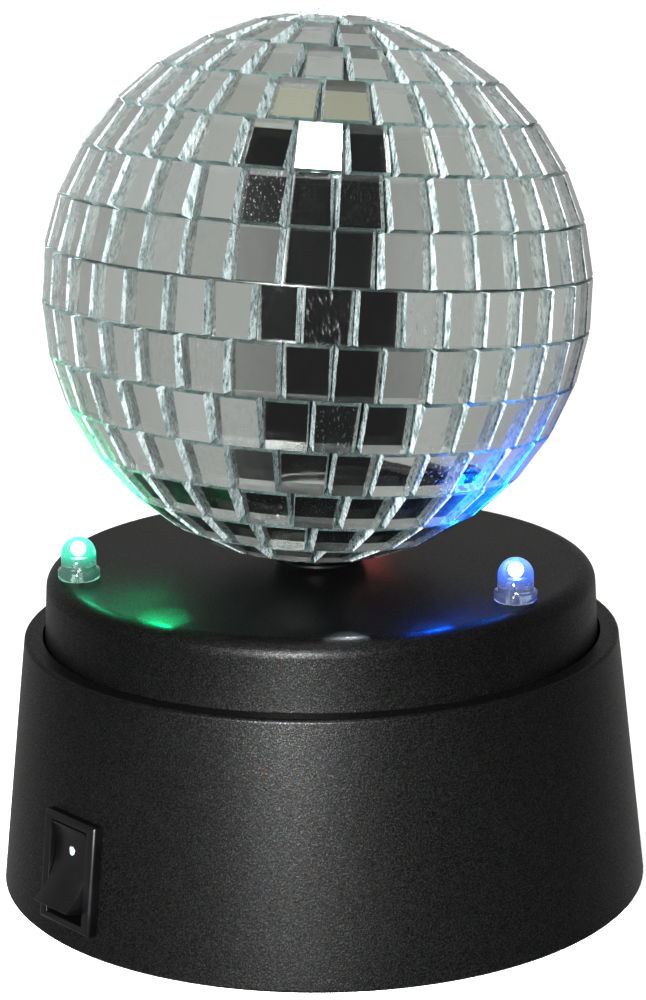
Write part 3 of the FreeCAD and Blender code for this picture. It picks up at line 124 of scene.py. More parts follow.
class Shader:
    """Builds one node tree, of a material or of the world."""

    def __init__(self, owner: Union[bpy.types.Material, bpy.types.World]) -> None:
        """Empties the owner's node tree.

        Args:
            owner: the material or world to build.
        """
        owner.use_nodes = True
        self.tree = owner.node_tree
        self.tree.nodes.clear()

    def node(self, kind: str, settings: Optional[Dict[str, object]] = None,
             inputs: Optional[Dict[Union[str, int], object]] = None,
             output: Union[str, int] = 0) -> Socket:
        """Adds a node.

        Args:
            kind: the node's type.
            settings: its own properties.
            inputs: a value or a Socket for each named or numbered input.
            output: which output to return.

        Returns:
            The chosen output.
        """
        made = self.tree.nodes.new(kind)
        for name, value in (settings or {}).items():
            setattr(made, name, value)
        for name, value in (inputs or {}).items():
            if isinstance(value, Socket):
                self.tree.links.new(value.output, made.inputs[name])
            elif isinstance(value, tuple) and len(value) == 3 and made.inputs[name].type == "RGBA":
                made.inputs[name].default_value = (*value, 1.0)
            else:
                made.inputs[name].default_value = value
        if not made.outputs:
            return Socket(self, None)
        return Socket(self, made.outputs[output])

    def place(self) -> Socket:
        """The point's own place on its object, in metres."""
        return self.node("ShaderNodeTexCoord", output="Object")

    def part(self, vector: Socket, axis: int) -> Socket:
        """One of a vector's three numbers, counted from 0."""
        return self.node("ShaderNodeSeparateXYZ", {}, {0: vector}, axis)

    def stretched(self, factors: Colour) -> Socket:
        """The object place with its axes scaled, for a grain that runs one way."""
        return self.node("ShaderNodeMapping", {"vector_type": "POINT"},
                         {"Vector": self.place(), "Scale": factors})

    def noise(self, scale: float, detail: float = 3.0, roughness: float = 0.5,
              vector: Optional[Socket] = None) -> Socket:
        """Fractal noise about 0.5.

        Args:
            scale: features per metre.
            detail: octaves.
            roughness: weight of the finer octaves.
            vector: where it is read, the object place if left out.

        Returns:
            The noise value.
        """
        return self.node("ShaderNodeTexNoise", {}, {
            "Vector": vector or self.place(), "Scale": scale, "Detail": detail, "Roughness": roughness})

    def cells(self, scale: float) -> Socket:
        """The distance to the nearest of that many cell middles per metre."""
        return self.node("ShaderNodeTexVoronoi", {}, {
            "Vector": self.place(), "Scale": scale}, "Distance")

    def attribute(self, name: str) -> Socket:
        """A number kept on the mesh."""
        return self.node("ShaderNodeAttribute", {"attribute_name": name}, output="Fac")

    def blend(self, factor: Operand, first: Union[Socket, Colour],
              second: Union[Socket, Colour]) -> Socket:
        """Mixes two colours.

        Args:
            factor: share of the second.
            first: the colour at 0.
            second: the colour at 1.

        Returns:
            The mixed colour.
        """
        return self.node("ShaderNodeMix", {"data_type": "RGBA"}, {0: factor, 6: first, 7: second}, 2)

    def bump(self, height: Socket, distance: float, strength: float = 1.0) -> Socket:
        """A normal tilted by a height pattern; distance is the height of 1, in metres."""
        return self.node("ShaderNodeBump", {}, {
            "Height": height, "Distance": distance, "Strength": strength})

    def principled(self, **inputs: object) -> Socket:
        """A Principled shader; underscores in names stand for spaces."""
        return self.node("ShaderNodeBsdfPrincipled", {}, {
            name.replace("_", " "): value for name, value in inputs.items()})

    def close(self, surface: Socket, kind: str = "ShaderNodeOutputMaterial") -> None:
        """Ends the tree with its output node."""
        self.node(kind, {}, {"Surface": surface})


class Finish:
    """A finish that makes its material once and then shares it."""

    made: Dict["Finish", bpy.types.Material] = {}

    def shade(self, shader: Shader) -> Socket:
        """Builds the finish's nodes and returns its surface."""
        raise NotImplementedError

    def material(self) -> bpy.types.Material:
        """The finish as a Blender material.

        Returns:
            The material, made at the first call.
        """
        if self not in Finish.made:
            material = bpy.data.materials.new(type(self).__name__)
            shader = Shader(material)
            shader.close(self.shade(shader))
            Finish.made[self] = material
        return Finish.made[self]


@dataclass(frozen=True)
class MouldedPlastic(Finish):
    """Plastic from a spark-eroded mould."""

    colour: Colour
    roughness: float
    grain_mm: float
    grain_depth_mm: float
    specular: float = 0.5
    flecked: bool = False

    def shade(self, shader: Shader) -> Socket:
        """Fine grain and soft scuffs, and bright flecks where the finish has them."""
        grain = shader.noise(1.0 / (self.grain_mm * MM), 2.0, 0.6)
        pits = shader.cells(0.55 / (self.grain_mm * MM))
        scuffs = shader.noise(60.0, 4.0, 0.65)
        paler = tuple(min(1.0, channel * 1.6) for channel in self.colour)
        body = shader.blend(scuffs.step(0.45, 0.75), self.colour, paler)
        metal: Operand = 0.0
        if self.flecked:  # bright specks that take no part in the diffuse colour
            metal = shader.noise(1.4 / (self.grain_mm * MM), 1.0, 0.5).step(0.52, 0.68)
            tones = shader.noise(0.9 / (self.grain_mm * MM), 1.0, 0.5).step(0.4, 0.6)
            body = shader.blend(metal, body, shader.blend(tones, WARM_FLECK, COOL_FLECK))
        return shader.principled(
            Base_Color=body,
            Metallic=metal,
            Roughness=self.roughness + (grain - 0.5) * 0.3 + (scuffs - 0.5) * 0.05,
            Specular_IOR_Level=self.specular,
            Normal=shader.bump(grain * 0.7 + pits * 0.6, self.grain_depth_mm * MM * 2.0, 1.0))


@dataclass(frozen=True)
class PolishedPlastic(Finish):
    """Plastic from a smooth mould, with faint flow and handling marks."""

    colour: Colour
    roughness: float = 0.2
    specular: float = 0.5

    def shade(self, shader: Shader) -> Socket:
        """Slight unevenness, hairline scratches and finger haze."""
        haze = shader.noise(110.0, 4.0, 0.6)
        hairs = shader.noise(900.0, 2.0, 0.5, shader.stretched((1.0, 0.08, 0.3)))
        paler = tuple(min(1.0, channel * 1.35) for channel in self.colour)
        return shader.principled(
            Base_Color=shader.blend(haze.step(0.4, 0.8), self.colour, paler),
            Roughness=self.roughness + haze.step(0.45, 0.8) * 0.14,
            Specular_IOR_Level=self.specular,
            Normal=shader.bump(haze + hairs * 0.3, 0.02 * MM, 0.5))


@dataclass(frozen=True)
class WorkedMetal(Finish):
    """Turned, drawn or plated metal."""

    colour: Colour
    roughness: float = 0.28
    grain: Colour = (1.0, 1.0, 0.06)

    def shade(self, shader: Shader) -> Socket:
        """Fine drawing lines over slightly dulled patches."""
        lines = shader.noise(2600.0, 2.0, 0.6, shader.stretched(self.grain))
        dulled = shader.noise(240.0, 3.0, 0.6)
        dark = tuple(channel * 0.72 for channel in self.colour)
        return shader.principled(
            Base_Color=shader.blend(dulled.step(0.4, 0.72), self.colour, dark),
            Metallic=1.0,
            Roughness=self.roughness + (lines - 0.5) * 0.2 + dulled.step(0.4, 0.8) * 0.12,
            Normal=shader.bump(lines, 0.006 * MM, 0.6))


@dataclass(frozen=True)
class SolderMask(Finish):
    """Green lacquered board with copper runs under it."""

    colour: Colour

    def shade(self, shader: Shader) -> Socket:
        """Paler runs where copper lies under the lacquer, and weave beneath."""
        runs = shader.cells(260.0).step(0.3, 0.24)
        weave = shader.noise(1800.0, 1.0, 0.4, shader.stretched((1.0, 0.2, 1.0)))
        copper = tuple(channel * 1.9 + 0.01 for channel in self.colour)
        return shader.principled(
            Base_Color=shader.blend(runs, self.colour, copper),
            Roughness=0.28 + weave * 0.15,
            Coat_Weight=0.3,
            Normal=shader.bump(runs + weave * 0.2, 0.03 * MM, 0.7))


@dataclass(frozen=True)
class CellSleeve(Finish):
    """A shrunk plastic sleeve with two plain bands."""

    colour: Colour
    band: Colour = (0.55, 0.36, 0.1)

    def shade(self, shader: Shader) -> Socket:
        """Soft wrinkles in a glossy film."""
        wrinkles = shader.noise(420.0, 3.0, 0.6)
        height = shader.part(shader.place(), 2)
        band = height.step(9.2 * MM, 9.4 * MM) * height.step(11.6 * MM, 11.4 * MM)
        return shader.principled(
            Base_Color=shader.blend(band * 0.8, self.colour, self.band),
            Roughness=0.24 + wrinkles * 0.12,
            Normal=shader.bump(wrinkles, 0.05 * MM, 0.4))


@dataclass(frozen=True)
class ClearGlass(Finish):
    """The face of a glass tile."""

    tint: Colour = (0.95, 0.975, 0.965)

    def shade(self, shader: Shader) -> Socket:
        """Clear glass, a little uneven, with rubbed patches where the tile has worn."""
        wear = shader.attribute("tile_wear")
        waves = shader.noise(190.0, 2.0, 0.5)
        hairs = shader.noise(2400.0, 3.0, 0.65, shader.stretched((1.0, 1.0, 0.3)))
        rubbed = hairs.step(0.5, 0.72) * wear
        return shader.principled(
            Base_Color=shader.blend(rubbed * 0.5, self.tint, (0.6, 0.72, 0.95)),
            Metallic=rubbed * 0.35,
            Roughness=rubbed * 0.4,
            IOR=1.5,
            Transmission_Weight=0.998,
            Normal=shader.bump(waves, 0.05 * MM, 0.6))


@dataclass(frozen=True)
class Silvering(Finish):
    """The silver behind a glass tile, whose tone differs a little from tile to tile."""

    bright: Colour = (0.79, 0.81, 0.79)
    aged: Colour = (0.5, 0.515, 0.475)

    def shade(self, shader: Shader) -> Socket:
        """A mirror coat with faint clouds and pinholes."""
        shade = shader.attribute("tile_shade")
        clouds = shader.noise(300.0, 3.0, 0.6)
        pinholes = shader.cells(1100.0).step(0.09, 0.05)
        silver = shader.blend(shade, self.aged, self.bright)
        return shader.principled(
            Base_Color=shader.blend(pinholes * 0.6, silver, (0.2, 0.22, 0.2)),
            Metallic=1.0,
            Roughness=0.02 + clouds.step(0.5, 0.8) * 0.04)


@dataclass(frozen=True)
class BrokenGlass(Finish):
    """The snapped edge of a glass tile: fluted facets that catch the light."""

    pale: Colour = (0.48, 0.555, 0.56)
    deep: Colour = (0.1, 0.15, 0.15)

    def shade(self, shader: Shader) -> Socket:
        """Frosted flutes along the break with bright chips."""
        chips = shader.cells(1500.0)
        flutes = shader.noise(1700.0, 3.0, 0.65, shader.stretched((1.0, 1.0, 0.3)))
        return shader.principled(
            Base_Color=shader.blend(flutes.step(0.36, 0.56), self.deep, self.pale),
            Roughness=0.16 + chips * 0.25,
            IOR=1.5,
            Transmission_Weight=0.45,
            Normal=shader.bump(chips * 0.5 + flutes, 0.22 * MM, 0.8))


@dataclass(frozen=True)
class GroundGlass(Finish):
    """The clean cut edge of a glass tile, frosted and slightly green."""

    colour: Colour = (0.5, 0.68, 0.66)

    def shade(self, shader: Shader) -> Socket:
        """A fine frosted grain."""
        frost = shader.noise(5200.0, 2.0, 0.5)
        paler = tuple(min(1.0, channel * 1.3) for channel in self.colour)
        return shader.principled(
            Base_Color=shader.blend(frost.step(0.35, 0.7), self.colour, paler),
            Roughness=0.1 + frost * 0.15,
            IOR=1.5,
            Transmission_Weight=0.97,
            Normal=shader.bump(frost, 0.02 * MM, 0.6))


@dataclass(frozen=True)
class LitEpoxy(Finish):
    """The clear epoxy of a lit LED, brightest in its dome."""

    glow: Colour
    core: Colour
    foot: float
    top: float
    strength: float = 1.0

    def shade(self, shader: Shader) -> Socket:
        """Clear body, with the light of the die spreading up into the dome."""
        height = shader.part(shader.place(), 2)
        rise = (height - self.foot) * (1.0 / (self.top - self.foot))
        streaks = shader.noise(700.0, 3.0, 0.6)
        lit = shader.blend(rise.step(0.28, 0.66), tuple(c * 0.12 for c in self.glow), self.glow)
        lit = shader.blend(rise.step(0.62, 1.0) * (0.3 + streaks * 0.5), lit, self.core)
        return shader.principled(
            Base_Color=(0.85, 0.95, 0.95),
            Roughness=0.04 + streaks * 0.05,
            IOR=1.5,
            Transmission_Weight=0.98,
            Emission_Color=lit,
            Emission_Strength=self.strength)


@dataclass(frozen=True)
class GlowingDie(Finish):
    """A lit LED chip."""

    colour: Colour = (1.0, 1.0, 0.95)

    def shade(self, shader: Shader) -> Socket:
        """Bright, with darker bond pads."""
        pads = shader.cells(2400.0).step(0.2, 0.1)
        return shader.principled(
            Base_Color=(0.8, 0.8, 0.6), Roughness=0.4,
            Emission_Color=shader.blend(pads, self.colour, tuple(c * 0.6 for c in self.colour)),
            Emission_Strength=6.0)


@dataclass(frozen=True)
class PaleFloor(Finish):
    """A plain pale studio floor."""

    colour: Colour = (0.86, 0.86, 0.86)

    def shade(self, shader: Shader) -> Socket:
        """Matt, with the faintest mottling."""
        mottling = shader.noise(9.0, 2.0, 0.5)
        return shader.principled(
            Base_Color=shader.blend(mottling, self.colour, tuple(c * 0.985 for c in self.colour)),
            Roughness=0.85, Specular_IOR_Level=0.1,
            Emission_Color=(1.0, 1.0, 1.0), Emission_Strength=0.42)


class CaseFinish(Enum):
    """The finishes of the record's material slots that carried-over nodes take."""

    black_case = MouldedPlastic((0.0001, 0.0001, 0.00012), 0.4, 0.18, 0.01, 0.04, True)
    black_gloss = PolishedPlastic((0.0004, 0.0004, 0.0005), 0.3, 0.16)
    lead_steel = WorkedMetal((0.62, 0.62, 0.6), 0.25)
    led_die = GlowingDie()
    cell_jacket = CellSleeve((0.012, 0.014, 0.022))
    board_green = SolderMask((0.012, 0.09, 0.035))
    black_ceramic = MouldedPlastic((0.02, 0.02, 0.02), 0.55, 0.15, 0.01)
    motor_steel = WorkedMetal((0.5, 0.5, 0.5), 0.3)
    shaft_steel = WorkedMetal((0.56, 0.56, 0.56), 0.18)
    white_nylon = MouldedPlastic((0.74, 0.73, 0.68), 0.4, 0.5, 0.008)
    brass_part = WorkedMetal((0.72, 0.52, 0.24), 0.24)
    grey_abs = MouldedPlastic((0.13, 0.13, 0.14), 0.45, 0.45, 0.01)
    screw_steel = WorkedMetal((0.36, 0.35, 0.32), 0.32)
    red_wire = PolishedPlastic((0.45, 0.012, 0.012), 0.3)
    black_wire = PolishedPlastic((0.012, 0.012, 0.012), 0.3)
    core_plastic = MouldedPlastic((0.012, 0.017, 0.017), 0.35, 0.6, 0.01)
    mirror_glass = Silvering()
    clear_epoxy = PolishedPlastic((0.8, 0.9, 0.9), 0.08)


class Side(Enum):
    """The sides of a glass tile, by how they were made."""

    FACE = 0
    BROKEN = 1
    CUT = 2
    BACK = 3


def add_piece(name: str, shape: bmesh.types.BMesh, finishes: Iterable[Finish], body: str,
              slot: str, *nodes: str) -> bpy.types.Object:
    """Turns a bmesh into a finished piece of the object.

    Args:
        name: the piece's name.
        shape: its mesh, in place, which is freed.
        finishes: its materials in slot order.
        body: the CAD body it rides on.
        slot: the record's material slot it stands for; not used.
        nodes: the CAD nodes it replaces.

    Returns:
        The new object.
    """
    mesh = bpy.data.meshes.new(name)
    shape.to_mesh(mesh)
    shape.free()
    piece = bpy.data.objects.new(name, mesh)
    bpy.context.scene.collection.objects.link(piece)
    for finish in finishes:
        mesh.materials.append(finish.material())
    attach(piece, body)
    if nodes:
        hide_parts(*nodes)
    log.info("%s: %d faces on %s", name, len(mesh.polygons), body)
    return piece


def add_light(name: str, kind: str, energy: float, place: Vector, aim: Vector,
              **settings: object) -> None:
    """Adds a light.

    Args:
        name: its name.
        kind: Blender's light type.
        energy: its strength in the type's own unit.
        place: where it stands.
        aim: what it points at.
        settings: more of the light's own properties.
    """
    light = bpy.data.lights.new(name, kind)
    light.energy = energy
    for key, value in settings.items():
        setattr(light, key, value)
    holder = bpy.data.objects.new(name, light)
    holder.location = place
    holder.rotation_euler = (aim - place).to_track_quat("-Z", "Y").to_euler()
    bpy.context.scene.collection.objects.link(holder)


def lathe(profile: Sequence[Tuple[float, float]], centre: Vector, steps: int) -> bmesh.types.BMesh:
    """Spins a closed-ended profile about an upright axis.

    Args:
        profile: radius and height pairs from the bottom of the axis to its top, in metres.
        centre: a point on the axis; only its x and y count.
        steps: the number of faces round the axis.

    Returns:
        The closed shape with its faces outward.
    """
    shape = bmesh.new()
    axis = Vector((centre.x, centre.y, 0.0))
    corners = [shape.verts.new(axis + Vector((radius, 0.0, height))) for radius, height in profile]
    edges = [shape.edges.new(pair) for pair in zip(corners, corners[1:])]
    bmesh.ops.spin(shape, geom=corners + edges, cent=axis, axis=UP, angle=math.tau,
                   steps=steps, use_merge=True)
    bmesh.ops.remove_doubles(shape, verts=shape.verts, dist=1e-7)
    bmesh.ops.recalc_face_normals(shape, faces=shape.faces)
    for face in shape.faces:
        face.smooth = True
    return shape


@dataclass
class Tiles:
    """The glass tiles on the ball, row by row, each in the place of its CAD blank."""

    rows: int = 15
    centre: Vector = field(default_factory=BALL_CENTRE.copy)
    tilt_deg: float = 5.48
    tilt_towards_deg: float = 40.9
    breaks: int = 5
    slant_most: float = 0.6 * MM
    foot_share: float = 0.45
    chip: float = 0.07 * MM
    darkest: float = 0.4
    seed: int = 20

    def axis(self) -> Vector:
        """The direction of the tile lattice's upper pole."""
        across = math.radians(self.tilt_towards_deg + 90.0)
        turn = Matrix.Rotation(math.radians(self.tilt_deg), 3,
                               Vector((math.cos(across), math.sin(across), 0.0)))
        return turn @ UP

    def pattern(self) -> bmesh.types.BMesh:
        """A unit block cut where a tile's snapped sides need it.

        Returns:
            A block with x along the row, y up the ball and z outwards.
        """
        shape = bmesh.new()
        bmesh.ops.create_cube(shape, size=1.0)
        upright = [edge for edge in shape.edges if abs(edge.verts[0].co.y - edge.verts[1].co.y) > 0.5]
        bmesh.ops.subdivide_edges(shape, edges=upright, cuts=self.breaks, use_grid_fill=True)
        deep = [edge for edge in shape.edges if abs(edge.verts[0].co.z - edge.verts[1].co.z) > 0.5]
        bmesh.ops.subdivide_edges(shape, edges=deep, cuts=1, use_grid_fill=True)
        bmesh.ops.recalc_face_normals(shape, faces=shape.faces)
        shades = shape.faces.layers.float.new("tile_shade")
        shape.faces.layers.float.new("tile_wear")
        for face in shape.faces:
            face[shades] = 1.0
            if abs(face.normal.x) > 0.5:
                face.material_index = Side.BROKEN.value
            elif abs(face.normal.y) > 0.5:
                face.material_index = Side.CUT.value
            elif face.normal.z < 0.0:
                face.material_index = Side.BACK.value
        return shape

    def blanks(self, node: str) -> List[List[Vector]]:
        """The corners of every tile of a CAD node.

        Args:
            node: the node's name.

        Returns:
            Eight corners for each tile.
        """
        shape = bmesh.new()
        shape.from_mesh(frame["nodes"][node].data)
        bmesh.ops.remove_doubles(shape, verts=shape.verts, dist=MERGE)
        left = set(shape.verts)
        found = []
        while left:
            queue = [left.pop()]
            corners = []
            while queue:
                corner = queue.pop()
                corners.append(corner.co.copy())
                near = {vert for edge in corner.link_edges for vert in edge.verts} & left
                left -= near
                queue.extend(near)
            found.append(corners)
        shape.free()
        return sorted(found, key=lambda tile: tuple(sum(tile, Vector())))

    def ordered(self, corners: List[Vector]) -> Tuple[Dict[Tuple[int, int, int], Vector], Matrix]:
        """Sorts a blank's corners by the side they are on.

        Args:
            corners: the corners in any order.

        Returns:
            Corners by the signs of x, y and z, and the tile's own axes as a matrix's columns.
        """
        by_distance = sorted(corners, key=lambda corner: (corner - self.centre).length)
        half = len(corners) // 2
        inner, outer = by_distance[:half], by_distance[half:]
        out = (sum(outer, Vector()) / half - sum(inner, Vector()) / half).normalized()
        east = self.axis().cross(out).normalized()
        north = out.cross(east)
        signed = {}
        for z, layer in ((-1, inner), (1, outer)):
            by_north = sorted(layer, key=lambda corner: corner.dot(north))
            for y, pair in ((-1, by_north[:2]), (1, by_north[-2:])):
                west_east = sorted(pair, key=lambda corner: corner.dot(east))
                signed[(-1, y, z)], signed[(1, y, z)] = west_east
        return signed, Matrix((east, north, out)).transposed()

    @staticmethod
    def placed(unit: Vector, signed: Dict[Tuple[int, int, int], Vector]) -> Vector:
        """A point of the unit block, carried to the blank by its eight corners."""
        place = Vector()
        for (x, y, z), corner in signed.items():
            place += corner * ((0.5 + x * unit.x) * (0.5 + y * unit.y) * (0.5 + z * unit.z))
        return place

    def slant(self, chance: random.Random) -> Tuple[float, float]:
        """How far a snapped side leans in at its foot and head; most lean at one end only."""
        size = chance.random() ** 1.3 * self.slant_most
        other = size * chance.uniform(0.1, 0.8)
        return (size, other) if chance.random() < 0.65 else (other, size)

    def tile(self, pattern: bmesh.types.BMesh, corners: List[Vector],
             chance: random.Random) -> bmesh.types.BMesh:
        """Makes one tile with its snapped left and right edges.

        Args:
            pattern: the unit block.
            corners: the blank's corners.
            chance: the source of its chips, shade and wear.

        Returns:
            The tile's mesh, in place.
        """
        shape = pattern.copy()
        signed, axes = self.ordered(corners)
        east = axes.col[0]
        slants = {side: self.slant(chance) for side in (-1.0, 1.0)}
        for vert in shape.verts:
            unit = vert.co.copy()
            vert.co = self.placed(unit, signed)
            if abs(unit.x) > 0.4 and unit.z > -0.4:
                side = math.copysign(1.0, unit.x)
                low, high = slants[side]
                slant = low + (high - low) * (0.5 + unit.y)
                share = 1.0 if unit.z > 0.4 else self.foot_share
                vert.co -= east * (side * (slant * share + chance.uniform(0.0, self.chip)))
        shades, wears = (shape.faces.layers.float[name] for name in ("tile_shade", "tile_wear"))
        shade, wear = chance.uniform(self.darkest, 1.0), chance.random() ** 2.5
        for face in shape.faces:
            face[shades] = shade
            face[wears] = wear
        return shape

    def build(self) -> None:
        """Makes every row, and the single tile at the top."""
        chance = random.Random(self.seed)
        finishes = (ClearGlass(), BrokenGlass(), GroundGlass(), Silvering())
        pattern = self.pattern()
        for node in ["mirror_row_%02d" % (row + 1) for row in range(self.rows)] + ["mirror_top_tile"]:
            row = bmesh.new()
            for corners in self.blanks(node):
                tile = self.tile(pattern, corners, chance)
                kept = bpy.data.meshes.new("tile")
                tile.to_mesh(kept)
                tile.free()
                row.from_mesh(kept)
                bpy.data.meshes.remove(kept)
            add_piece(node.replace("mirror", "glass"), row, finishes, "ball", "mirror_glass", node)
        pattern.free()


class Lamp(Enum):
    """The three LEDs, each with its glow, its hot core and its throw on what is near."""

    green = ((0.0, 0.62, 0.36), (0.35, 1.0, 0.8), (0.0, 1.0, 0.36), 1.0)
    blue = ((0.02, 0.12, 0.9), (0.35, 0.75, 1.0), (0.0, 0.13, 1.0), 1.0)
    red = ((1.0, 0.02, 0.02), (1.0, 0.6, 0.5), (1.0, 0.03, 0.02), 0.25)


@dataclass
class Leds:
    """The clear round LEDs on the cover, all lit."""

    flange_radius: float = 2.95 * MM
    flange_height: float = 1.4 * MM
    barrel_radius: float = 2.45 * MM
    round_steps: int = 40
    dome_steps: int = 9
    soft: float = 0.15 * MM
    spill: float = 0.004
    beam: float = 4.5
    beam_deg: float = 96.0
    beam_lean: float = 0.75
    beam_blend: float = 0.9
    lamp_rise: float = 1.0 * MM
    core_radius: float = 0.75 * MM
    core_drop: float = 1.9 * MM
    dome_glow: float = 0.9
    glint_deg: float = 34.0
    glint_blend: float = 0.45
    glints: Tuple[Tuple[str, Colour, Colour, Colour, float], ...] = (
        ("green_glint", (0.0, 1.0, 0.3), (-22.5, -18.0, 55.6), (-21.0, -25.6, 45.5), 0.075),
        ("blue_glint", (0.0, 0.1, 1.0), (17.0, -25.5, 53.5), (14.5, -34.0, 45.5), 0.035),
        ("red_glint", (1.0, 0.03, 0.02), (-12.0, 22.0, 54.0), (-22.0, 20.0, 45.5), 0.02),
        ("pale_glint", (0.85, 0.95, 1.0), (4.0, -29.5, 54.0), (3.2, -38.4, 45.3), 0.014))

    def profile(self, low: float, high: float) -> List[Tuple[float, float]]:
        """The lens outline from the underside of the flange to the dome's top.

        Args:
            low: the height of the flange's underside.
            high: the height of the dome's top.

        Returns:
            Radius and height pairs.
        """
        soft = self.soft
        spring = high - self.barrel_radius
        outline = [(0.0, low), (self.flange_radius - soft, low), (self.flange_radius, low + soft),
                   (self.flange_radius, low + self.flange_height - soft),
                   (self.flange_radius - soft, low + self.flange_height),
                   (self.barrel_radius, low + self.flange_height), (self.barrel_radius, spring)]
        for step in range(1, self.dome_steps + 1):
            turn = math.pi / 2 * step / self.dome_steps
            outline.append((self.barrel_radius * math.cos(turn),
                            spring + self.barrel_radius * math.sin(turn)))
        outline[-1] = (0.0, high)
        return outline

    def build(self) -> None:
        """Makes the lenses and the light they throw."""
        for lamp in Lamp:
            glow, core, throw, share = lamp.value
            node = "led_%s_lens" % lamp.name
            low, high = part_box(node)
            centre = (low + high) / 2
            finish = LitEpoxy(glow, core, low.z, high.z, self.dome_glow)
            lens = lathe(self.profile(low.z, high.z), centre, self.round_steps)
            add_piece("lens_%s" % lamp.name, lens, (finish,), "base", "clear_epoxy", node)
            hot = bmesh.new()
            bmesh.ops.create_uvsphere(hot, u_segments=20, v_segments=12, radius=self.core_radius)
            bmesh.ops.translate(hot, verts=hot.verts,
                                vec=Vector((centre.x, centre.y, high.z - self.core_drop)))
            for face in hot.faces:
                face.smooth = True
            add_piece("core_%s" % lamp.name, hot, (GlowingDie(core),), "base", "led_die")
            tip = Vector((centre.x, centre.y, high.z + self.lamp_rise))
            inward = Vector((-centre.x, -centre.y, 0.0)).normalized()
            add_light("%s_spill" % lamp.name, "POINT", self.spill * share, tip, tip + UP,
                      color=throw, shadow_soft_size=0.9 * MM)
            add_light("%s_beam" % lamp.name, "SPOT", self.beam * share, tip,
                      tip + UP + inward * self.beam_lean, color=throw, shadow_soft_size=0.6 * MM,
                      spot_size=math.radians(self.beam_deg), spot_blend=self.beam_blend)
            log.info("%s LED shines", lamp.name)
        for name, tint, start, end, power in self.glints:
            add_light(name, "SPOT", power, Vector(start) * MM, Vector(end) * MM, color=tint,
                      shadow_soft_size=0.3 * MM, spot_size=math.radians(self.glint_deg),
                      spot_blend=self.glint_blend)


@dataclass(frozen=True)
class PrintedDot(Finish):
    """Pale ink pressed into black plastic."""

    colour: Colour = (0.13, 0.15, 0.16)

    def shade(self, shader: Shader) -> Socket:
        """Slightly worn ink."""
        worn = shader.noise(3200.0, 2.0, 0.6).step(0.52, 0.75)
        return shader.principled(
            Base_Color=shader.blend(worn * 0.5, self.colour, (0.06, 0.07, 0.08)),
            Roughness=0.35 + worn * 0.2, Normal=shader.bump(worn, 0.02 * MM, 0.5))


@dataclass
class Switch:
    """The rocker switch: its softened frame and rocker, and the mark on the rocker."""

    slope_deg: float = 6.48
    mark_out: float = 2.2 * MM
    mark_up: float = 3.1 * MM
    mark_lean_deg: float = -5.0
    mark_width: float = 0.62 * MM
    mark_height: float = 0.85 * MM
    edge: float = 0.16 * MM
    frame_edge: float = 0.3 * MM

    def axes(self) -> Tuple[Vector, Matrix]:
        """The rocker's pivot, and its outward, sideways and upward axes as columns."""
        joint = next(joint for joint in frame["joints"] if joint["name"] == "rocker_tip")
        across = Vector(joint["axis"]).normalized()
        level = across.cross(UP).normalized()
        if level.dot(Vector(joint["pos_m"])) < 0.0:
            level = -level
        slope = math.radians(self.slope_deg)
        out = level * math.cos(slope) + UP * math.sin(slope)
        upward = UP * math.cos(slope) - level * math.sin(slope)
        return Vector(joint["pos_m"]), Matrix((out, upward.cross(out), upward)).transposed()

    def softened(self, node: str, soft: float) -> bmesh.types.BMesh:
        """A copy of a CAD node with its sharp edges rounded.

        Args:
            node: the node's name.
            soft: how wide the rounding is.

        Returns:
            The merged and bevelled shape.
        """
        shape = bmesh.new()
        shape.from_mesh(frame["nodes"][node].data)
        bmesh.ops.remove_doubles(shape, verts=shape.verts, dist=MERGE)
        bmesh.ops.dissolve_limit(shape, angle_limit=math.radians(0.5), verts=shape.verts,
                                 edges=shape.edges)
        sharp = [edge for edge in shape.edges
                 if len(edge.link_faces) == 2 and edge.calc_face_angle(0.0) > math.radians(40.0)]
        bmesh.ops.bevel(shape, geom=sharp, offset=soft, offset_type="OFFSET", segments=2, profile=0.5,
                        affect="EDGES", material=-1, clamp_overlap=True)
        for face in shape.faces:
            face.smooth = True
        for edge in shape.edges:
            edge.smooth = edge.calc_face_angle(0.0) < math.radians(38.0)
        return shape

    def build(self) -> None:
        """Makes the frame, the rocker and the mark on it."""
        gloss = CaseFinish.black_gloss.value
        add_piece("switch_frame", self.softened("switch_housing", self.frame_edge), (gloss,),
                  "base", "black_gloss", "switch_housing")
        add_piece("rocker_cap", self.softened("switch_rocker", self.edge), (gloss,),
                  "rocker", "black_gloss", "switch_rocker")
        pivot, axes = self.axes()
        mark = bmesh.new()
        bmesh.ops.create_uvsphere(mark, u_segments=24, v_segments=12, radius=1.0)
        lean = Matrix.Rotation(math.radians(self.mark_lean_deg), 3, "Y")
        size = Matrix.Diagonal((0.14 * MM, self.mark_width, self.mark_height))
        bmesh.ops.transform(mark, verts=mark.verts, matrix=(axes @ lean @ size).to_4x4())
        bmesh.ops.translate(mark, verts=mark.verts,
                            vec=pivot + axes @ Vector((self.mark_out, 0.0, self.mark_up)))
        for face in mark.faces:
            face.smooth = True
        add_piece("rocker_mark", mark, (PrintedDot(),), "rocker", "black_gloss")


@dataclass
class CarriedNodes:
    """CAD nodes that keep their own shape and get a finish."""

    def build(self) -> None:
        """Dresses every node by the slot its CAD material names."""
        for name, node in sorted(frame["nodes"].items()):
            for holder in node.material_slots:
                key = holder.material.name.split(".")[0]
                holder.material = CaseFinish[key].value.material()
            log.info("%s dressed", name)


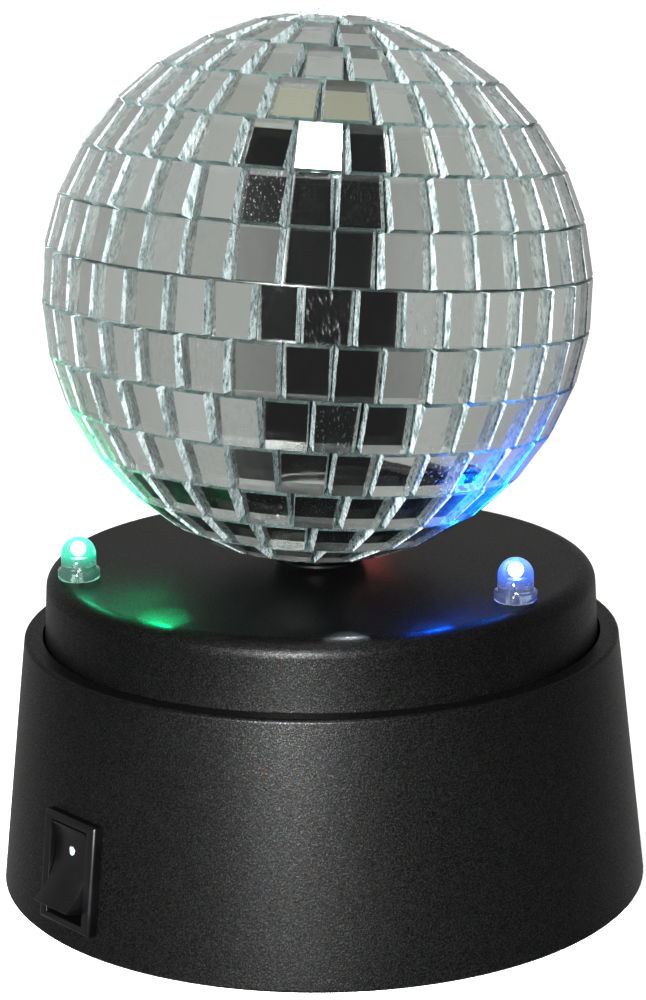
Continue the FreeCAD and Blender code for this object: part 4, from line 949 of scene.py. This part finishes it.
@dataclass
class Studio:
    """The floor, the pale room with its dark end, the lights and the camera."""

    floor_size: float = 30.0
    room: float = 0.52
    dark: float = 0.02
    dark_middle: float = 0.07
    dark_half: float = 0.5
    softbox: float = 1.5
    softbox_spread: float = 16.0
    softbox_azimuth: float = 4.0
    softbox_height: float = 70.0
    flash: float = 9.5
    flash_place: Tuple[float, float, float] = (-0.1, -0.46, 0.2)
    flash_aim: Tuple[float, float, float] = (0.0, 0.0, 0.05)
    key: float = 60.0
    key_place: Tuple[float, float, float] = (-0.088, -0.46, 0.12)
    key_aim: Tuple[float, float, float] = (-0.003, -0.04, 0.009)
    key_spread: float = 11.0
    camera_place: Tuple[float, float, float] = (0.0, -0.380, 0.1515)
    camera_pitch: float = 0.2501
    camera_yaw: float = 0.0012
    camera_roll: float = -0.0127
    lens: float = 100.03

    def floor(self) -> None:
        """Makes the floor under the base."""
        shape = bmesh.new()
        bmesh.ops.create_grid(shape, x_segments=2, y_segments=2, size=self.floor_size / 2)
        mesh = bpy.data.meshes.new("floor")
        shape.to_mesh(mesh)
        shape.free()
        mesh.materials.append(PaleFloor().material())
        floor = bpy.data.objects.new("floor", mesh)
        bpy.context.scene.collection.objects.link(floor)
        for way in ("diffuse", "glossy", "transmission"):
            setattr(floor, "visible_" + way, False)

    def surroundings(self) -> None:
        """A pale grey room all round, with a dark doorway facing the front."""
        world = bpy.data.worlds.new("studio")
        bpy.context.scene.world = world
        shader = Shader(world)
        way = shader.node("ShaderNodeTexCoord", output="Generated")
        across, along, height = (shader.part(way, axis) for axis in range(3))
        doorway = abs(across - self.dark_middle).step(self.dark_half + 0.08, self.dark_half - 0.12)
        doorway = doorway * along.step(-0.12, -0.24)
        warm = height.step(0.88, 0.97)
        walls = shader.blend(warm, (1.0, 1.0, 0.985), (1.05, 1.03, 0.82))
        walls = shader.blend(doorway, walls, (self.dark, self.dark, self.dark))
        light = shader.node("ShaderNodeBackground", {}, {"Color": walls, "Strength": self.room})
        shader.close(light, "ShaderNodeOutputWorld")

    def lights(self) -> None:
        """A softbox high in front, a small frontal flash, and a narrow key for the base."""
        middle = BALL_CENTRE
        turn, rise = math.radians(self.softbox_azimuth), math.radians(self.softbox_height)
        way = Vector((math.sin(turn) * math.cos(rise), -math.cos(turn) * math.cos(rise),
                      math.sin(rise)))
        add_light("softbox", "SUN", self.softbox, middle + way, middle,
                  angle=math.radians(self.softbox_spread))
        add_light("flash", "AREA", self.flash, Vector(self.flash_place), Vector(self.flash_aim),
                  size=0.03)
        add_light("base_key", "SPOT", self.key, Vector(self.key_place), Vector(self.key_aim),
                  shadow_soft_size=0.012, spot_size=math.radians(self.key_spread), spot_blend=0.2)

    def camera(self) -> None:
        """Sets the camera that the object is seen by."""
        camera = bpy.data.cameras.new("camera")
        camera.lens = self.lens
        camera.sensor_width = 36.0
        holder = bpy.data.objects.new("camera", camera)
        pitch, yaw, roll = self.camera_pitch, self.camera_yaw, self.camera_roll
        ahead = Vector((math.sin(yaw) * math.cos(pitch), math.cos(yaw) * math.cos(pitch),
                        -math.sin(pitch)))
        right = Vector((math.cos(yaw), -math.sin(yaw), 0.0))
        upward = right.cross(ahead)
        side = right * math.cos(roll) + upward * math.sin(roll)
        top = upward * math.cos(roll) - right * math.sin(roll)
        turn = Matrix((side, top, -ahead)).transposed().to_4x4()
        holder.matrix_world = Matrix.Translation(Vector(self.camera_place)) @ turn
        bpy.context.scene.collection.objects.link(holder)
        bpy.context.scene.camera = holder

    def build(self) -> None:
        """Builds the whole studio."""
        self.floor()
        self.surroundings()
        self.lights()
        self.camera()
        bpy.context.scene.view_settings.view_transform = "Standard"


def main() -> None:
    """Builds the studio and every part of the object in order."""
    logging.basicConfig(level=logging.INFO, format="%(name)s: %(message)s")
    for part in (Studio(), CarriedNodes(), Tiles(), Leds(), Switch()):
        part.build()
        log.info("%s done", type(part).__name__)


if __name__ == "__main__":
    main()
